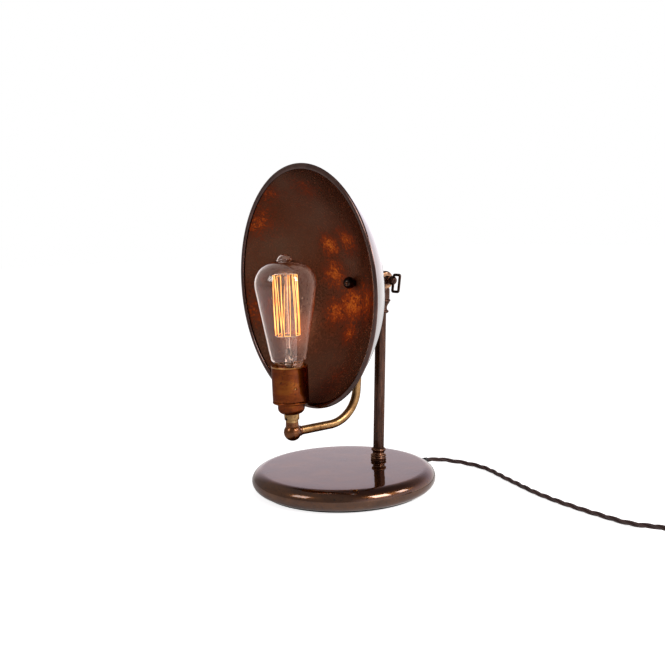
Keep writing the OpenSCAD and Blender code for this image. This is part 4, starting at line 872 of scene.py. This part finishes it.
# The filament's own light passes the glass unbent, as through any thin wall.
see_through = add(tree, "BsdfTransparent", {"Color": "#fdf6ee"})
shadow = add(tree, "LightPath").outputs["Is Shadow Ray"]
either = add(tree, "MixShader", {"Fac": shadow, 1: glass.outputs[0], 2: see_through.outputs[0]})
add(tree, "OutputMaterial", {"Surface": either.outputs[0]})
blown = piece("blown_bulb_glass", spun(bulb_outline, 160), clear, at_bulb, 60)
fit(blown, "bulb", "bulb_glass", "bulb_glass")
cap_brass = turned_metal("pressed_cap_brass", "#dcc07a", "#b08d4e", 0.22, 0.8)
fit(piece("screw_cap", from_frame("bulb_cap", 0), cap_brass, crease=50), "bulb", "cap_brass", "bulb_cap")
dress(moulded("black_vitrite", "#0a090c", "#15131a", 0.12, 1.5), "cap_insulator")
dress(turned_metal("dull_tin_solder", "#b9b8b2", "#8c8b86", 0.45), "cap_contact")
cage_top = 165
cage_low = 105
cage_r = 13
strands = 16
pinch_z = 87
flare_r = cap_r - 0.5 - glass_t - 0.4
rod_r = 1.5
mount_outline = (
    [(0, pinch_z - 9.5), (3.2, pinch_z - 9.5), (4, cap_top + 0.6), (flare_r - 1.4, cap_top - 5.2),
     (flare_r - 1, cap_top - 5.8), (flare_r, cap_top - 5.8), (flare_r - 0.6, cap_top - 4.6),
     (5.2, cap_top + 1), (4.6, pinch_z - 12), (4.4, pinch_z - 9), (3.6, pinch_z - 7),
     (2.6, pinch_z - 3), (1.7, pinch_z), (rod_r, pinch_z + 2), (rod_r, cage_low - 5.5)]
    + arc(0, cage_low - 3, 2.3, -48, 48, 10) + [(rod_r, cage_top - 1.6)] + arc(0, cage_top, 2.1, -40, 90, 10)
)
mount = spun(mount_outline, 48)
pinch = bmesh.ops.create_cube(mount, size=MM)["verts"]
bmesh.ops.scale(mount, vec=(9.4, 3.4, 12), verts=pinch)
bmesh.ops.translate(mount, vec=(0, 0, (pinch_z - 5) * MM), verts=pinch)
edges = {e for v in pinch for e in v.link_edges}
bmesh.ops.bevel(mount, geom=list(edges), offset=0.9 * MM, segments=3, profile=0.5, affect="EDGES",
                material=-1)
# Lead glass, heavier and brighter at its edges than the bulb's.
lead_glass, tree = blank("lead_glass")
surface(tree, {"Base Color": "#f7f1ea", "Roughness": 0.03, "IOR": 1.55, "Transmission Weight": 1.0})
fit(piece("glass_mount_blown", mount, lead_glass, at_bulb), "bulb", "mount_glass", "glass_mount")


def in_bulb(points):
    """Points in the bulb's own frame, moved to the object's frame, in mm."""
    return [at_bulb @ (Vector(p) * MM) / MM for p in points]


def polar(r, turn, z):
    """A point at radius r, a turn in strands and a height."""
    a = math.tau * turn / strands
    return (r * math.cos(a), r * math.sin(a), z)


wire_root = 1.2
wire_r = 0.3
thread_r = 0.4
wires = []
for k in range(strands // 2):
    up, low = 2 * k + 1.5, 2 * k + 0.5
    wires.append(in_bulb([polar(wire_root, up, cage_top), polar(6, up, cage_top + 0.9),
                          polar(11.8, up, cage_top + 0.5), polar(12.9, up, cage_top + 0.1),
                          polar(cage_r, up, cage_top - 0.6)]))
    wires.append(in_bulb([polar(wire_root, low, cage_low - 3), polar(6, low, cage_low - 4.6),
                          polar(10.5, low, cage_low - 4), polar(12.7, low, cage_low - 2.8),
                          polar(cage_r, low, cage_low - 2)]))
for x in (-1, 1):
    wires.append(in_bulb([(x * 3, 0, pinch_z - 6), (x * 3.2, 0.3 * x, pinch_z + 3),
                          (x * 5.5, 0.8, cage_low - 7), (x * 9.5, 1.2, cage_low - 3.2)]))
nickel = turned_metal("drawn_nickel_wire", "#cfc6bd", "#9a8f86", 0.25)
supports = tubes("support_wires_nickel", wires, wire_r, 1)
supports.data.materials.append(nickel)
fit(supports, "bulb", "nickel_wire", "support_wires")
thread = []
for i in range(strands):
    ends = [cage_top - 0.4, cage_low - 2] if i % 2 == 0 else [cage_low - 2, cage_top - 0.4]
    for t in (0, 0.25, 0.5, 0.75, 1):
        bow = math.sin(math.pi * t) * (0.5 if i % 3 else -0.6)
        skew = 0.4 * math.sin(2.1 * i + 1.8 * t)
        thread.append(polar(cage_r - 0.2 + bow, i + skew, ends[0] + (ends[1] - ends[0]) * t))
filament = tubes("carbon_thread", [in_bulb(thread)], thread_r, 2)
# Carbon at a dull yellow heat, redder every 17 mm or so, where the thread is thicker.
glowing, tree = blank("glowing_carbon")
spot = add(tree, "TexCoord").outputs["Object"]
heat = add(tree, "TexNoise", {"Vector": spot, "Scale": 60.0, "Detail": 2.0}).outputs["Fac"]
glow = add(tree, "ValToRGB", {"Fac": heat}, [(0.35, "#ff9650"), (0.5, "#ffb25c"), (0.62, "#ffc872")])
shining = add(tree, "Emission", {"Color": glow.outputs[0], "Strength": 2.4})
add(tree, "OutputMaterial", {"Surface": shining.outputs[0]})
filament.data.materials.append(glowing)
fit(filament, "bulb", "filament", "filament")


# Floor and light
# A white sweep that reads as pure white to the camera and keeps a faint shadow. Three soft boxes, two to
# the right of the camera and one to its left, and a bright horizon light the metal.
def direct(tree, rays):
    """1 for the rays that the camera sends, also through glass, and otherwise 0."""
    return add(tree, "Math", {0: rays["Is Camera Ray"], 1: rays["Is Transmission Ray"]},
               operation="MAXIMUM").outputs[0]


floor_half = 6
floor_mesh = bmesh.new()
bmesh.ops.create_grid(floor_mesh, x_segments=1, y_segments=1, size=floor_half)
paper, tree = blank("white_paper_sweep")
lit = add(tree, "BsdfDiffuse", {"Color": "#bfbdbe"})
rays = add(tree, "LightPath").outputs
seen = direct(tree, rays)
spot = add(tree, "TexCoord").outputs["Object"]
# Rays that reflect off the metal also see the floor glow, faint in front and bright towards the far side:
# painted light for the metal to mirror.
far_side = add(tree, "VectorMath", {0: spot, 1: (0.7, 0.7, 0)}, operation="DOT_PRODUCT").outputs["Value"]
mirrored = add(tree, "MapRange", {"Value": far_side, "From Min": -0.1, "From Max": 0.5, "To Min": 0.12,
                                  "To Max": 0.95}).outputs[0]
mirrored = add(tree, "Math", {0: mirrored, 1: rays["Is Glossy Ray"]}, operation="MULTIPLY").outputs[0]
shine = add(tree, "Math", {0: seen, 1: 0.8, 2: mirrored}, operation="MULTIPLY_ADD")
added = add(tree, "Emission", {"Color": "#ffffff", "Strength": shine.outputs[0]})
both = add(tree, "AddShader", {0: lit.outputs[0], 1: added.outputs[0]})
add(tree, "OutputMaterial", {"Surface": both.outputs[0]})
floor = piece("floor", floor_mesh, paper)
world = bpy.data.worlds.new("studio")
scene.world = world
world.use_nodes = True
tree = world.node_tree
tree.nodes.clear()
way = add(tree, "TexCoord").outputs["Generated"]
parts = add(tree, "SeparateXYZ", {"Vector": way})
height = add(tree, "ValToRGB", {"Fac": parts.outputs["Z"]},
             [(0.0, "#fff9fd"), (0.12, "#f5eef7"), (0.3, "#dfd6e6"), (0.55, "#8c8086"), (0.75, "#5a5054")])
side = add(tree, "VectorMath", {0: way, 1: (0.26, 0.97, 0)}, operation="DOT_PRODUCT").outputs["Value"]
open_side = add(tree, "MapRange", {"Value": side, "From Min": -0.25, "From Max": 0.15}).outputs[0]
toned = add(tree, "Mix", {0: open_side, 6: "#8c8684", 7: height.outputs[0]}, data_type="RGBA").outputs[2]
rays = add(tree, "LightPath").outputs
seen = direct(tree, rays)
plain = add(tree, "Mix", {0: rays["Is Glossy Ray"], 6: "#c2bfc0", 7: toned}, data_type="RGBA").outputs[2]
backdrop = add(tree, "Mix", {0: seen, 6: plain, 7: "#ffffff"}, data_type="RGBA").outputs[2]
bright = add(tree, "MapRange", {"Value": rays["Is Glossy Ray"], "To Min": 1.0, "To Max": 1.35}).outputs[0]
sky = add(tree, "Background", {"Color": backdrop, "Strength": bright})
add(tree, "OutputWorld", {"Surface": sky.outputs[0]})
aim = Vector((0, -0.02, 0.16))
for name, place, size, power in (("soft_box_right", (0.95, 0.22, 0.75), 0.42, 9.0),
                                 ("soft_box_far", (0.74, 0.78, 0.74), 0.30, 3.0),
                                 ("soft_box_left", (-0.08, -1.06, 0.78), 0.40, 3.0)):
    box = bpy.data.lights.new(name, "AREA")
    box.shape = "SQUARE"
    box.size = size
    box.energy = power
    lamp = bpy.data.objects.new(name, box)
    scene.collection.objects.link(lamp)
    towards = (aim - Vector(place)).to_track_quat("-Z", "Y")
    lamp.matrix_world = Matrix.LocRotScale(Vector(place), towards, None)
scene.view_settings.view_transform = "Standard"
